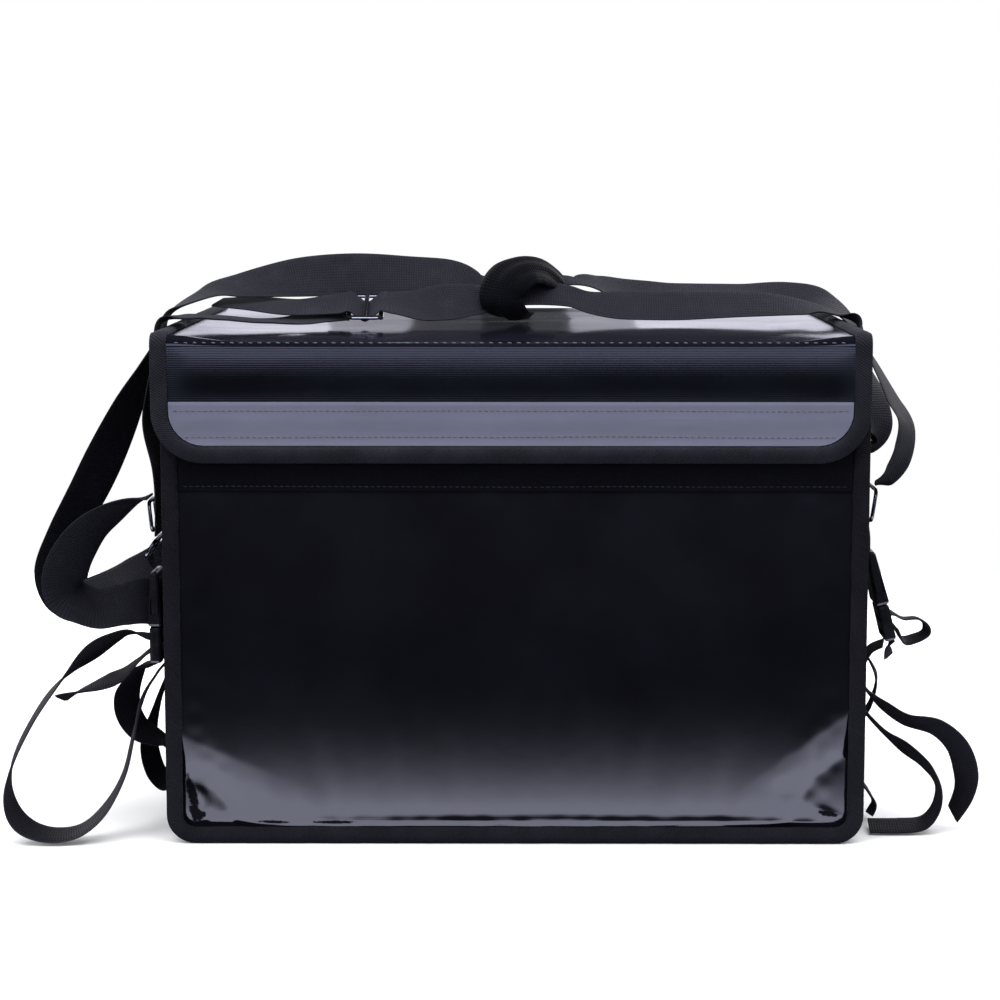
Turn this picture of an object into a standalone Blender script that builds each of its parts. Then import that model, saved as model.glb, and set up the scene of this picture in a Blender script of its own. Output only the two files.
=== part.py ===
"""An insulated delivery backpack: a box-shaped padded bag with a flap lid, knotted shoulder webbing
and side-release buckles whose strap ends hang down to the floor.

Metres, +Z up. The front of the bag faces -Y, and the origin is at the middle of the base's underside.
"""

import math

import bmesh
import bpy
from mathutils import Euler, Vector

# Body: padded panels sewn to one strip that makes both sides and the base
BODY_WIDTH = 0.430
BODY_DEPTH = 0.300
BODY_HEIGHT = 0.3115
WALL = 0.007
BOTTOM_RADIUS = 0.016
FRONT_BULGE = 0.003
SIDE_BULGE = 0.003
BULGE_RISE = 0.045

# Clearance between pieces that touch
FIT = 0.0003

# Woven tape that binds the sewn edges
BINDING_COVER = 0.0085
BINDING_WRAP = 0.008
BINDING_PROUD = 0.0015

# Fabric band below the lid, where the flap closes
CLOSURE_HEIGHT = 0.062
CLOSURE_DROP = 0.028
CLOSURE_THICK = 0.0008

# Lid: a top panel that folds over the front edge, and a flap sewn to it
LID_THICK = 0.005
LID_LEFT = 0.0045
LID_RIGHT = -0.001
LID_STAND = 0.0035
FOLD_RADIUS = 0.0060
SEAM_DROP = 0.0062
FLAP_DROP = 0.0755
FLAP_RADIUS = 0.030
STRIP_HEIGHT = 0.0266
STRIP_THICK = 0.0005

# Webbing
STRAP_WIDTH = 0.032
NARROW_WIDTH = 0.020
WEB = 0.0016
LEFT_REACH = 0.100
RIGHT_REACH = 0.073

# Knot: a turn of webbing round the two straps, an ellipse wound like a spring
KNOT_ACROSS = -0.002
KNOT_BEHIND = -0.008
KNOT_WIDTH = 0.027
KNOT_DEEP = 0.024
KNOT_TALL = 0.0205
KNOT_PITCH = 0.038
KNOT_GATHER = 0.30

# Side-release buckles for the narrow webbing: the socket above, the plug below
BUCKLE_LENGTH = 0.058
BUCKLE_WIDTH = 0.029
BUCKLE_THICK = 0.009
BUCKLE_ROUND = 0.0018
PLUG_LENGTH = 0.0235
PLUG_THICK = 0.0074
PLUG_WIDTH = 0.027
BUCKLE_WALL = 0.0019
BUCKLE_TAPER = 0.6
PRONG_LENGTH = 0.020
SLOT_WIDTH = 0.0215
SLOT_HEIGHT = 0.0042
LEFT_BUCKLE_STAND = 0.0098
RIGHT_BUCKLE_STAND = 0.0057

# Wire rings and the cast slider on the knotted strap
WIRE = 0.0024
RING_WIDTH = 0.036
LINK_WIDTH = 0.024
RING_CORNER = 0.004
LEFT_RING_LENGTH = 0.0114
LINK_LENGTH = 0.0181
RIGHT_RING_LENGTH = 0.0195
SLIDER_LENGTH = 0.024
SLIDER_WIDTH = 0.039
SLIDER_THICK = 0.003
SLIDER_RIM = 0.0032

# Worked out from the sizes above
HALF_WIDTH = BODY_WIDTH / 2
HALF_DEPTH = BODY_DEPTH / 2
BASE_SEAM = BINDING_PROUD + 2 * FIT
LID_TOP = BODY_HEIGHT + FIT + LID_THICK
FLAP_FACE = HALF_DEPTH + LID_STAND + LID_THICK
CLOSURE_FOOT = BODY_HEIGHT - CLOSURE_DROP - CLOSURE_HEIGHT
KNOT_LIFT = KNOT_TALL + WEB / 2 + 3 * FIT

# Places as shares: of the half depth, of the height, and on the lid of the half width, half depth and strap
HARDWARE_LINE, RING_LINE = -0.787, -0.613
LEFT_BUCKLE_RISE, RIGHT_BUCKLE_RISE = 0.5393, 0.5811
PLUG_SLOTS = (0.36, 0.76)
SLIDER_PLACE = (-0.450, -0.290, 0.36)

# Leans in degrees: a buckle's foot away from the wall, the slider's back edge up
LEFT_BUCKLE_LEAN, RIGHT_BUCKLE_LEAN = 0.0, 14.0
SLIDER_LEAN_BACK = 20.0

PARTS = "insulated_delivery_backpack"
CUTTERS = "cutters"


def clear_scene():
    for item in list(bpy.data.objects):
        bpy.data.objects.remove(item, do_unlink=True)
    for name in (PARTS, CUTTERS):
        group = bpy.data.collections.new(name)
        bpy.context.scene.collection.children.link(group)


def material(name, colour, roughness, metallic=0.0):
    made = bpy.data.materials.new(name)
    made.use_nodes = True
    shader = made.node_tree.nodes["Principled BSDF"]
    shader.inputs["Base Color"].default_value = (*colour, 1.0)
    shader.inputs["Roughness"].default_value = roughness
    shader.inputs["Metallic"].default_value = metallic
    return made


def finish_piece(name, mesh, look, smooth_angle=40):
    mesh.materials.append(look)
    mesh.shade_smooth()
    mesh.set_sharp_from_angle(angle=math.radians(smooth_angle))
    piece = bpy.data.objects.new(name, mesh)
    bpy.data.collections[PARTS].objects.link(piece)
    return piece


def loft(name, sections, look, closed=False):
    """A solid through sections that each hold as many points, with end caps unless it closes on itself."""
    shape = bmesh.new()
    rings = [[shape.verts.new(point) for point in section] for section in sections]
    count = len(rings[0])
    pairs = list(zip(rings, rings[1:]))
    if closed:
        pairs.append((rings[-1], rings[0]))
    for first, second in pairs:
        for i in range(count):
            j = (i + 1) % count
            shape.faces.new((first[i], first[j], second[j], second[i]))
    if not closed:
        shape.faces.new(rings[0])
        shape.faces.new(rings[-1])
    bmesh.ops.recalc_face_normals(shape, faces=shape.faces)
    mesh = bpy.data.meshes.new(name)
    shape.to_mesh(mesh)
    shape.free()
    return finish_piece(name, mesh, look)


def sheet(name, outer, inner, look):
    """A padded sheet: two grids of points, the outer and the inner face, joined round their edge."""
    shape = bmesh.new()
    faces = [[[shape.verts.new(point) for point in row] for row in grid] for grid in (outer, inner)]
    rows = len(outer)
    columns = len(outer[0])
    for grid in faces:
        for i in range(rows - 1):
            for j in range(columns - 1):
                shape.faces.new((grid[i][j], grid[i + 1][j], grid[i + 1][j + 1], grid[i][j + 1]))
    rim = [(0, j) for j in range(columns)]
    rim += [(i, columns - 1) for i in range(1, rows)]
    rim += [(rows - 1, j) for j in range(columns - 2, -1, -1)]
    rim += [(i, 0) for i in range(rows - 2, 0, -1)]
    for (i, j), (k, m) in zip(rim, rim[1:] + rim[:1]):
        shape.faces.new((faces[0][i][j], faces[0][k][m], faces[1][k][m], faces[1][i][j]))
    bmesh.ops.recalc_face_normals(shape, faces=shape.faces)
    mesh = bpy.data.meshes.new(name)
    shape.to_mesh(mesh)
    shape.free()
    return finish_piece(name, mesh, look)


def rise(distance):
    """How far a padded face has swelled, from 0 at its binding to 1 further in."""
    share = min(max((distance - BINDING_COVER) / BULGE_RISE, 0.0), 1.0)
    return share * share * (3 - 2 * share)


def body_half_width(z):
    """Half of the front panel's width at a height, narrower where its bottom corners are round."""
    above = z - BASE_SEAM
    if above >= BOTTOM_RADIUS:
        return HALF_WIDTH
    down = BOTTOM_RADIUS - above
    return HALF_WIDTH - BOTTOM_RADIUS + math.sqrt(max(BOTTOM_RADIUS**2 - down**2, 0.0))


def front_swell(x, z):
    side = rise(HALF_WIDTH - abs(x))
    low = rise(z - BASE_SEAM)
    high = rise(CLOSURE_FOOT - z + BINDING_COVER)
    return FRONT_BULGE * side * low * high


def spaced(start, end, count):
    return [start + (end - start) * i / count for i in range(count + 1)]


def panel_heights():
    corner = [
        BASE_SEAM + BOTTOM_RADIUS * (1 - math.cos(math.radians(angle))) for angle in (0, 22, 45, 68, 90)
    ]
    first = BASE_SEAM + BOTTOM_RADIUS + BULGE_RISE * 0.5
    full = CLOSURE_FOOT - BULGE_RISE
    return corner + spaced(first, full, 3) + [full + BULGE_RISE / 2, CLOSURE_FOOT, BODY_HEIGHT]


def panel_columns():
    """Places across a panel, as shares of its half width, close together where it swells."""
    near = 1 - BINDING_COVER / HALF_WIDTH
    full = 1 - (BINDING_COVER + BULGE_RISE) / HALF_WIDTH
    half = [full * 0.5, full, (near + full) / 2, near, 1.0]
    return [-share for share in reversed(half)] + [0.0] + half


def end_panel(name, side, look):
    """The front (side -1) or back (side 1) panel."""
    outer = []
    inner = []
    for z in panel_heights():
        width = body_half_width(z)
        places = [(share * width, z) for share in panel_columns()]
        outer.append([(x, side * (HALF_DEPTH + front_swell(x, z)), z) for x, z in places])
        inner.append([(x, side * (HALF_DEPTH - WALL), z) for x, z in places])
    return sheet(name, outer, inner, look)


def body_stations(top):
    """Points and outward normals along the sewn edge: down the left, across the base, up the right."""
    low = BASE_SEAM + BOTTOM_RADIUS
    across = HALF_WIDTH - BOTTOM_RADIUS
    left = [((-HALF_WIDTH, z), (-1.0, 0.0)) for z in spaced(top, low, 5)]
    turn = []
    for angle in (22, 45, 68, 90):
        normal = (-math.cos(math.radians(angle)), -math.sin(math.radians(angle)))
        turn.append(((-across + BOTTOM_RADIUS * normal[0], low + BOTTOM_RADIUS * normal[1]), normal))
    base = [((x, BASE_SEAM), (0.0, -1.0)) for x in spaced(-across, across, 4)[1:-1]]
    half = left + turn
    other = [((-x, z), (-nx, nz)) for (x, z), (nx, nz) in reversed(half)]
    return half + base + other


def side_swell(y):
    return rise(HALF_DEPTH - abs(y))


def gusset(look):
    """One strip that makes both sides and the base, flat underneath where the bag stands."""
    end = HALF_DEPTH - WALL - FIT
    depths = [HALF_DEPTH - BINDING_COVER, HALF_DEPTH - BINDING_COVER - BULGE_RISE / 2]
    depths += [HALF_DEPTH - BINDING_COVER - BULGE_RISE]
    across = [-end] + [-y for y in depths] + [0.0] + list(reversed(depths)) + [end]
    outer = []
    inner = []
    for (x, z), (nx, nz) in body_stations(BODY_HEIGHT):
        share = max(-nz, 0.0)
        swell = share * BASE_SEAM + (1 - share) * SIDE_BULGE
        outer.append([(x + nx * swell * side_swell(y), y, z + nz * swell * side_swell(y)) for y in across])
        inner.append([(x - nx * WALL, y, z - nz * WALL) for y in across])
    return sheet("side_base_gusset", outer, inner, look)


def bind_edge(name, stations, wrap, look):
    """Tape folded over an edge. A station has a point, the way out of the edge, and the way out of the face."""
    out = FIT + BINDING_PROUD
    soft = BINDING_PROUD * 0.6
    corners = (
        (-BINDING_COVER, FIT),
        (-BINDING_COVER + soft * 0.5, out),
        (out - soft, out),
        (out, out - soft),
        (out, -wrap),
        (FIT, -wrap),
        (FIT, FIT),
    )
    sections = []
    for point, edge, face in stations:
        sections.append([Vector(point) + Vector(edge) * e + Vector(face) * f for e, f in corners])
    return loft(name, sections, look)


def body_binding(name, side, look):
    stations = []
    for (x, z), (nx, nz) in body_stations(BODY_HEIGHT - LID_STAND):
        stations.append(((x, side * HALF_DEPTH, z), (nx, 0, nz), (0, side, 0)))
    return bind_edge(name, stations, BINDING_WRAP, look)


def closure_band(look):
    """Fabric band along the front panel's top, which the flap covers down to its own lower edge."""
    half = HALF_WIDTH - BINDING_COVER - FIT
    face = HALF_DEPTH + FIT
    outer = []
    inner = []
    for z in (CLOSURE_FOOT, CLOSURE_FOOT + CLOSURE_HEIGHT):
        places = spaced(-half, half, 6)
        outer.append([(x, -face - CLOSURE_THICK, z) for x in places])
        inner.append([(x, -face, z) for x in places])
    return sheet("closure_band", outer, inner, look)


def lid_edges(y):
    """The lid's left and right edges at a depth: the left one flares towards the flap."""
    share = min(max((HALF_DEPTH - y) / BODY_DEPTH, 0.0), 1.0)
    return -(HALF_WIDTH + LID_LEFT * (0.4 + 0.6 * share)), HALF_WIDTH + LID_RIGHT


def lid_profile(first, last):
    """Points of the lid's outer face from back to front and down, each with the way out of the face.

    first and last are lengths along the profile: 0 is at the fold's start, negative further back.
    """
    arc = FOLD_RADIUS * math.pi / 2
    fold_start = -(FLAP_FACE - FOLD_RADIUS)
    places = []
    for length in [first, 0.0] + [arc * i / 5 for i in range(1, 6)] + [last]:
        if first <= length <= last and length not in places:
            places.append(length)
    profile = []
    for length in sorted(places):
        turned = min(max(length / arc, 0.0), 1.0) * math.pi / 2
        face = (0.0, -math.sin(turned), math.cos(turned))
        y = fold_start - FOLD_RADIUS * math.sin(turned) - min(length, 0.0)
        z = LID_TOP - FOLD_RADIUS * (1 - math.cos(turned)) - max(length - arc, 0.0)
        profile.append(((y, z), face))
    return profile


def lid_sheet(name, rows, look):
    """A padded sheet from rows of ((y, z), way out, left edge, right edge)."""
    outer = []
    inner = []
    for (y, z), (_, fy, fz), left, right in rows:
        across = spaced(left, right, 6)
        outer.append([(x, y, z) for x in across])
        inner.append([(x, y - fy * LID_THICK, z - fz * LID_THICK) for x in across])
    return sheet(name, outer, inner, look)


def lid_top(look):
    arc = FOLD_RADIUS * math.pi / 2
    back = -(FLAP_FACE - FOLD_RADIUS) - HALF_DEPTH
    seam = arc + SEAM_DROP - FOLD_RADIUS
    rows = []
    for place, face in lid_profile(back, seam):
        left, right = lid_edges(place[0])
        rows.append((place, face, left, right))
    return lid_sheet("lid_top", rows, look)


def flap_rows(low, high, inset, stand):
    """Rows of the flap between two heights, its lower corners round, inset from its outline."""
    left, right = lid_edges(-FLAP_FACE)
    bottom = LID_TOP - FLAP_DROP
    round_top = bottom + FLAP_RADIUS
    heights = [bottom + FLAP_RADIUS * (1 - math.cos(math.radians(a))) for a in (0, 18, 36, 54, 72, 90)]
    heights = [z for z in heights if low < z < high] + [low, high]
    rows = []
    for z in sorted(heights):
        cut = 0.0
        if z < round_top:
            radius = FLAP_RADIUS - inset
            down = min(round_top - z, radius)
            cut = radius - math.sqrt(max(radius**2 - down**2, 0.0))
        rows.append(((-FLAP_FACE - stand, z), (0, -1, 0), left + inset + cut, right - inset - cut))
    return rows


def lid_flap(look):
    seam = LID_TOP - SEAM_DROP - FIT
    return lid_sheet("lid_flap", flap_rows(LID_TOP - FLAP_DROP, seam, 0.0, 0.0), look)


def reflective_strip(look):
    low = LID_TOP - FLAP_DROP + BINDING_COVER + 2 * FIT
    rows = flap_rows(low, low + STRIP_HEIGHT, BINDING_COVER + 2 * FIT, FIT + STRIP_THICK)
    outer = []
    inner = []
    for (y, z), _, left, right in rows:
        across = spaced(left, right, 8)
        outer.append([(x, y, z) for x in across])
        inner.append([(x, y + STRIP_THICK, z) for x in across])
    return sheet("reflective_strip", outer, inner, look)


def lid_binding(look):
    """Tape along the lid's left side, round the flap and back along its right side."""
    arc = FOLD_RADIUS * math.pi / 2
    back = -(FLAP_FACE - FOLD_RADIUS) - HALF_DEPTH
    low = LID_TOP - FLAP_DROP + FLAP_RADIUS
    down = arc + (LID_TOP - FOLD_RADIUS) - low
    left = []
    right = []
    for (y, z), face in lid_profile(back, down):
        edges = lid_edges(y)
        left.append(((edges[0], y, z), (-1, 0, 0), face))
        right.append(((edges[1], y, z), (1, 0, 0), face))
    turn = []
    for side, edge in ((-1, left[-1][0][0]), (1, right[-1][0][0])):
        points = []
        for angle in (18, 36, 54, 72, 90):
            out = (side * math.cos(math.radians(angle)), 0, -math.sin(math.radians(angle)))
            x = edge - side * FLAP_RADIUS + FLAP_RADIUS * out[0]
            points.append(((x, -FLAP_FACE, low + FLAP_RADIUS * out[2]), out, (0, -1, 0)))
        turn.append(points)
    stations = left + turn[0] + list(reversed(turn[1])) + list(reversed(right))
    return bind_edge("lid_binding", stations, LID_THICK, look)


def smooth_rows(rows, steps):
    """Values between rows on a smooth curve that passes through each row."""
    made = []
    last = len(rows) - 1
    for i in range(last):
        before, start, end, after = rows[max(i - 1, 0)], rows[i], rows[i + 1], rows[min(i + 2, last)]
        for step in range(steps):
            t = step / steps
            made.append(
                [
                    0.5 * (2 * b + (c - a) * t + (2 * a - 5 * b + 4 * c - d) * t**2 + (3 * b - a - 3 * c + d) * t**3)
                    for a, b, c, d in zip(before, start, end, after)
                ]
            )
    made.append(list(rows[-1]))
    return made


def gathered(place):
    """Share of its width that webbing keeps: less where it is squeezed in the knot."""
    away = abs(place.x - KNOT_ACROSS - KNOT_PITCH * 0.35) / KNOT_PITCH
    near = min(max(1.6 - away, 0.0), 1.0)
    return 1 - KNOT_GATHER * near * near * (3 - 2 * near)


def ribbon(name, rows, width, look, gather=False):
    """Webbing along rows of (place, way across its width)."""
    flat = [(*place, *across) for place, across in rows]
    made = smooth_rows(flat, 3)
    centres = [Vector(row[:3]) for row in made]
    sections = []
    for i, row in enumerate(made):
        ahead = centres[min(i + 1, len(centres) - 1)] - centres[max(i - 1, 0)]
        ahead.normalize()
        across = Vector(row[3:])
        across = (across - ahead * across.dot(ahead)).normalized() * (width / 2)
        if gather:
            across *= gathered(centres[i])
        up = ahead.cross(across).normalized() * (WEB / 2)
        sections.append([centres[i] + across * a + up * b for a, b in ((-1, -1), (1, -1), (1, 1), (-1, 1))])
    return loft(name, sections, look)


def at_side(side, out, deep, up):
    """A place beside the bag: out is a share of that side's reach, deep of the half depth, up of the height."""
    reach = LEFT_REACH if side < 0 else RIGHT_REACH
    return (side * (HALF_WIDTH + out * reach), deep * HALF_DEPTH, up * BODY_HEIGHT)


def on_lid(across, deep, lift):
    """A place over the lid: across is a share of the half width, deep of the half depth, lift of a strap's width."""
    return (across * HALF_WIDTH, deep * HALF_DEPTH, LID_TOP + lift * STRAP_WIDTH)


def on_wall(side, deep, up):
    """A place where webbing lies flat against the bag's side."""
    y = deep * HALF_DEPTH
    out = HALF_WIDTH + SIDE_BULGE * side_swell(abs(y) - NARROW_WIDTH / 2) + FIT + WEB / 2 + FIT
    return (side * out, y, up * BODY_HEIGHT)


def buckle_frame(side):
    """The middle of a buckle's top, the way out of its face, and the way down along it."""
    if side < 0:
        out, rise, lean = LEFT_BUCKLE_STAND, LEFT_BUCKLE_RISE, LEFT_BUCKLE_LEAN
    else:
        out, rise, lean = RIGHT_BUCKLE_STAND, RIGHT_BUCKLE_RISE, RIGHT_BUCKLE_LEAN
    tilt = math.radians(lean)
    place = Vector((side * (HALF_WIDTH + out), HARDWARE_LINE * HALF_DEPTH, rise * BODY_HEIGHT))
    face = Vector((side * math.cos(tilt), 0, math.sin(tilt)))
    down = Vector((side * math.sin(tilt), 0, -math.cos(tilt)))
    return place, face, down


def on_buckle(side, out, along):
    """A place at a buckle: out is a share of its thickness from its middle, along of its length from the top."""
    place, face, down = buckle_frame(side)
    return tuple(place + face * out * BUCKLE_THICK + down * along * BUCKLE_LENGTH)


def near_buckle(side, out, deep, along):
    """A place beside the bag whose height is measured down from a buckle's top, in buckle lengths."""
    x, y, _ = at_side(side, out, deep, 0.0)
    return (x, y, buckle_frame(side)[0].z - along * BUCKLE_LENGTH)


FLAT = (0, 1, 0)
UPRIGHT = (0, 0, 1)
FOOT = 1.0 + FIT * 9 / BUCKLE_LENGTH


def slot_share(share):
    """Where a slot of the plug is, as a share of the buckle's length."""
    return 1 - PLUG_LENGTH / BUCKLE_LENGTH * (1 - share)


SLOT_ABOVE, SLOT_BELOW = (slot_share(share) for share in PLUG_SLOTS)

# Each row: how the place is given, its three shares, and the way across the webbing
SHOULDER_STRAP = (
    ("wall", -1, 0.900, 0.640, UPRIGHT),
    ("wall", -1, 0.760, 0.626, UPRIGHT),
    ("wall", -1, 0.600, 0.610, UPRIGHT),
    ("wall", -1, 0.400, 0.590, UPRIGHT),
    ("wall", -1, 0.060, 0.540, UPRIGHT),
    ("side", 0.080, -0.080, 0.520, (0.00, 0.15, 0.98)),
    ("side", 0.180, -0.230, 0.500, (-0.15, 0.50, 0.85)),
    ("side", 0.347, -0.300, 0.487, (-0.25, 0.76, 0.60)),
    ("side", 0.540, -0.333, 0.458, (-0.20, 0.76, 0.62)),
    ("side", 0.700, -0.367, 0.443, (0.00, 0.76, 0.60)),
    ("side", 0.815, -0.400, 0.458, (0.40, 0.76, 0.40)),
    ("side", 0.840, -0.433, 0.516, (0.65, 0.74, 0.00)),
    ("side", 0.735, -0.467, 0.597, (0.60, 0.76, -0.25)),
    ("side", 0.575, -0.500, 0.690, (0.62, 0.72, -0.31)),
    ("side", 0.450, -0.520, 0.770, (0.59, 0.74, -0.30)),
    ("side", 0.330, -0.520, 0.850, (0.45, 0.86, -0.22)),
    ("side", 0.225, -0.480, 0.920, (0.20, 0.97, -0.10)),
    ("side", 0.130, -0.420, 0.985, (0.05, 1.00, 0.00)),
    ("side", 0.070, -0.360, 1.042, (0.00, 1.00, 0.05)),
    ("lid", -0.930, -0.280, 0.62, (0.00, 0.96, 0.20)),
    ("lid", -0.830, -0.200, 0.76, (0.00, 0.88, 0.42)),
    ("lid", -0.660, -0.130, 0.92, (0.00, 0.66, 0.75)),
    ("lid", -0.500, -0.095, 0.97, (0.00, 0.54, 0.84)),
    ("lid", -0.350, -0.070, 0.96, (0.00, 0.66, 0.75)),
    ("lid", -0.200, -0.060, 0.91, (0.05, 0.86, 0.50)),
    ("lid", -0.090, -0.050, 0.84, (0.00, 0.98, 0.18)),
    ("lid", 0.010, -0.045, 0.82, FLAT),
    ("lid", 0.120, -0.040, 0.82, FLAT),
    ("lid", 0.200, -0.005, 0.81, (0.00, 0.98, 0.15)),
    ("lid", 0.285, 0.100, 0.68, (0.00, 0.94, 0.30)),
    ("lid", 0.370, 0.160, 0.59, (0.00, 0.90, 0.38)),
    ("lid", 0.500, 0.150, 0.56, (0.00, 0.93, 0.30)),
    ("lid", 0.700, 0.150, 0.57, (0.00, 0.95, 0.26)),
    ("lid", 0.860, 0.130, 0.51, (0.00, 0.87, 0.46)),
    ("lid", 0.965, 0.080, 0.39, (0.00, 0.94, 0.34)),
    ("other", 0.120, 0.030, 1.012, (0.10, 0.95, 0.25)),
    ("other", 0.210, -0.040, 0.935, (0.30, 0.95, 0.00)),
    ("other", 0.310, -0.090, 0.865, (0.55, 0.83, 0.00)),
    ("other", 0.355, -0.120, 0.805, (0.65, 0.76, 0.00)),
    ("other", 0.290, -0.150, 0.762, (0.45, 0.87, 0.10)),
    ("other", 0.180, -0.175, 0.745, (0.15, 0.98, 0.00)),
    ("other", 0.095, -0.188, 0.728, FLAT),
    ("wall", 1, -0.190, 0.700, FLAT),
    ("wall", 1, -0.190, 0.650, FLAT),
)

HOOK_STRAP = (
    ("wall", -1, 0.900, 0.300, UPRIGHT),
    ("wall", -1, 0.760, 0.311, UPRIGHT),
    ("wall", -1, 0.600, 0.324, UPRIGHT),
    ("wall", -1, 0.350, 0.345, UPRIGHT),
    ("wall", -1, -0.120, 0.392, UPRIGHT),
    ("side", 0.060, -0.270, 0.411, (0.00, 0.15, 0.98)),
    ("side", 0.090, -0.420, 0.430, (-0.10, 0.30, 0.95)),
    ("side", 0.210, -0.580, 0.455, (-0.10, 0.58, 0.80)),
    ("side", 0.360, -0.640, 0.453, (-0.15, 0.70, 0.69)),
    ("side", 0.500, -0.670, 0.448, (-0.05, 0.73, 0.67)),
    ("side", 0.615, -0.690, 0.462, (0.20, 0.73, 0.58)),
    ("side", 0.680, -0.710, 0.480, (0.60, 0.65, 0.36)),
    ("side", 0.695, -0.730, 0.510, (0.80, 0.60, 0.00)),
    ("side", 0.655, -0.750, 0.555, (0.78, 0.60, -0.12)),
    ("side", 0.540, -0.770, 0.612, (0.55, 0.75, -0.35)),
    ("left", 0.405, -0.780, -0.584, (0.30, 0.85, -0.40)),
    ("left", 0.270, HARDWARE_LINE, -0.723, (0.12, 0.95, -0.25)),
    ("left", 0.137, HARDWARE_LINE, -0.790, FLAT),
)

ADJUSTER_STRAP = (
    ("left", 0.083, HARDWARE_LINE, -0.393, FLAT),
    ("left", 0.080, HARDWARE_LINE, -0.702, FLAT),
    ("left", 0.085, HARDWARE_LINE, -0.986, FLAT),
    ("side", 0.100, -0.747, 0.782, (0.20, 0.98, 0.00)),
    ("side", 0.120, -0.733, 0.838, (0.25, 0.97, 0.00)),
    ("side", 0.110, -0.720, 0.898, (0.15, 0.99, 0.00)),
    ("side", 0.090, -0.700, 0.975, FLAT),
    ("side", 0.070, -0.673, 1.032, FLAT),
    ("lid", -0.960, -0.620, 0.24, FLAT),
    ("lid", -0.870, -0.530, 0.20, FLAT),
    ("lid", -0.750, -0.460, 0.12, FLAT),
    ("lid", -0.640, -0.390, 0.12, (0.00, 0.98, 0.12)),
)

KNOTTED_STRAP_LEFT = (
    ("lid", -0.900, -0.245, 0.44, (0.00, 0.98, 0.10)),
    ("lid", -0.790, -0.270, 0.42, (0.00, 0.97, 0.20)),
    ("lid", -0.660, -0.310, 0.355, (0.00, 0.96, 0.27)),
)

KNOTTED_STRAP_RIGHT = (
    ("lid", -0.290, -0.255, 0.33, (0.00, 0.93, 0.36)),
    ("lid", -0.210, -0.170, 0.40, (0.00, 0.93, 0.36)),
    ("lid", -0.130, -0.090, 0.42, (0.00, 0.98, 0.16)),
    ("lid", -0.070, -0.060, 0.42, FLAT),
    ("lid", 0.020, -0.060, 0.43, FLAT),
    ("lid", 0.095, -0.075, 0.48, (0.00, 0.90, 0.43)),
    ("lid", 0.170, -0.110, 0.46, (0.00, 0.87, 0.50)),
    ("lid", 0.240, -0.150, 0.40, (0.00, 0.86, 0.50)),
    ("lid", 0.380, -0.175, 0.36, (0.00, 0.84, 0.54)),
    ("lid", 0.530, -0.180, 0.36, (0.00, 0.85, 0.52)),
    ("lid", 0.750, -0.170, 0.38, (0.00, 0.90, 0.42)),
    ("lid", 0.890, -0.190, 0.30, (0.00, 0.97, 0.22)),
    ("lid", 0.965, -0.235, 0.20, FLAT),
    ("other", 0.080, -0.290, 1.022, FLAT),
    ("other", 0.120, -0.335, 0.990, FLAT),
    ("other", 0.190, -0.370, 0.958, (0.12, 0.98, 0.06)),
    ("other", 0.365, -0.450, 0.875, (0.24, 0.96, 0.13)),
    ("other", 0.475, -0.520, 0.818, (0.42, 0.90, -0.08)),
    ("other", 0.425, -0.580, 0.760, (0.48, 0.85, -0.22)),
    ("right", 0.300, RING_LINE, -0.735, (0.42, 0.88, -0.22)),
    ("right", 0.184, RING_LINE, -0.658, (0.22, 0.96, -0.15)),
)

LEFT_ANCHOR_TAPE = (
    ("wall", -1, HARDWARE_LINE, 0.430, FLAT),
    ("wall", -1, HARDWARE_LINE, 0.510, FLAT),
    ("left", 0.040, HARDWARE_LINE, -0.122, FLAT),
    ("left", 0.068, HARDWARE_LINE, -0.294, FLAT),
)

LEFT_BUCKLE_TAPE = (
    ("left", 0.143, HARDWARE_LINE, -0.149, FLAT),
    ("left", 0.128, HARDWARE_LINE, -0.073, FLAT),
    ("buckle", -1, 0.05, -0.022, FLAT),
)

LEFT_HANGING_LOOP = (
    ("buckle", -1, 0.00, SLOT_ABOVE, FLAT),
    ("buckle", -1, 0.60, SLOT_ABOVE, FLAT),
    ("left", 0.235, -0.793, 0.705, (0.00, 0.98, -0.20)),
    ("left", 0.335, -0.813, 0.716, (0.00, 0.90, -0.43)),
    ("left", 0.507, -0.827, 0.893, (0.30, 0.84, -0.45)),
    ("side", 0.730, -0.853, 0.305, (-0.12, 0.99, 0.00)),
    ("side", 0.890, -0.880, 0.230, (-0.20, 0.98, 0.00)),
    ("side", 1.000, -0.920, 0.150, (-0.15, 0.99, 0.00)),
    ("side", 1.005, -0.967, 0.085, (0.12, 0.98, 0.05)),
    ("side", 0.925, -0.993, 0.038, (0.22, 0.95, 0.22)),
    ("side", 0.760, -1.000, 0.0165, (0.05, 0.97, 0.24)),
    ("side", 0.570, -0.987, 0.023, (-0.05, 0.98, 0.18)),
    ("side", 0.420, -0.960, 0.062, (-0.20, 0.98, 0.08)),
    ("side", 0.300, -0.927, 0.130, (-0.20, 0.98, 0.00)),
    ("side", 0.241, -0.893, 0.209, (-0.15, 0.99, 0.00)),
    ("left", 0.185, -0.870, 1.382, FLAT),
    ("left", 0.110, -0.820, 1.151, FLAT),
    ("buckle", -1, -0.40, FOOT, FLAT),
)

LEFT_STRAP_TAIL = (
    ("buckle", -1, 0.00, SLOT_BELOW, FLAT),
    ("buckle", -1, 0.60, SLOT_BELOW, FLAT),
    ("left", 0.230, -0.805, 1.006, (0.05, 0.98, 0.10)),
    ("left", 0.359, -0.853, 1.167, (0.10, 0.92, 0.36)),
    ("side", 0.546, -0.867, 0.300, FLAT),
    ("side", 0.660, -0.880, 0.287, (-0.10, 0.91, -0.40)),
    ("side", 0.700, -0.880, 0.283, (-0.10, 0.91, -0.40)),
)

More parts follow.
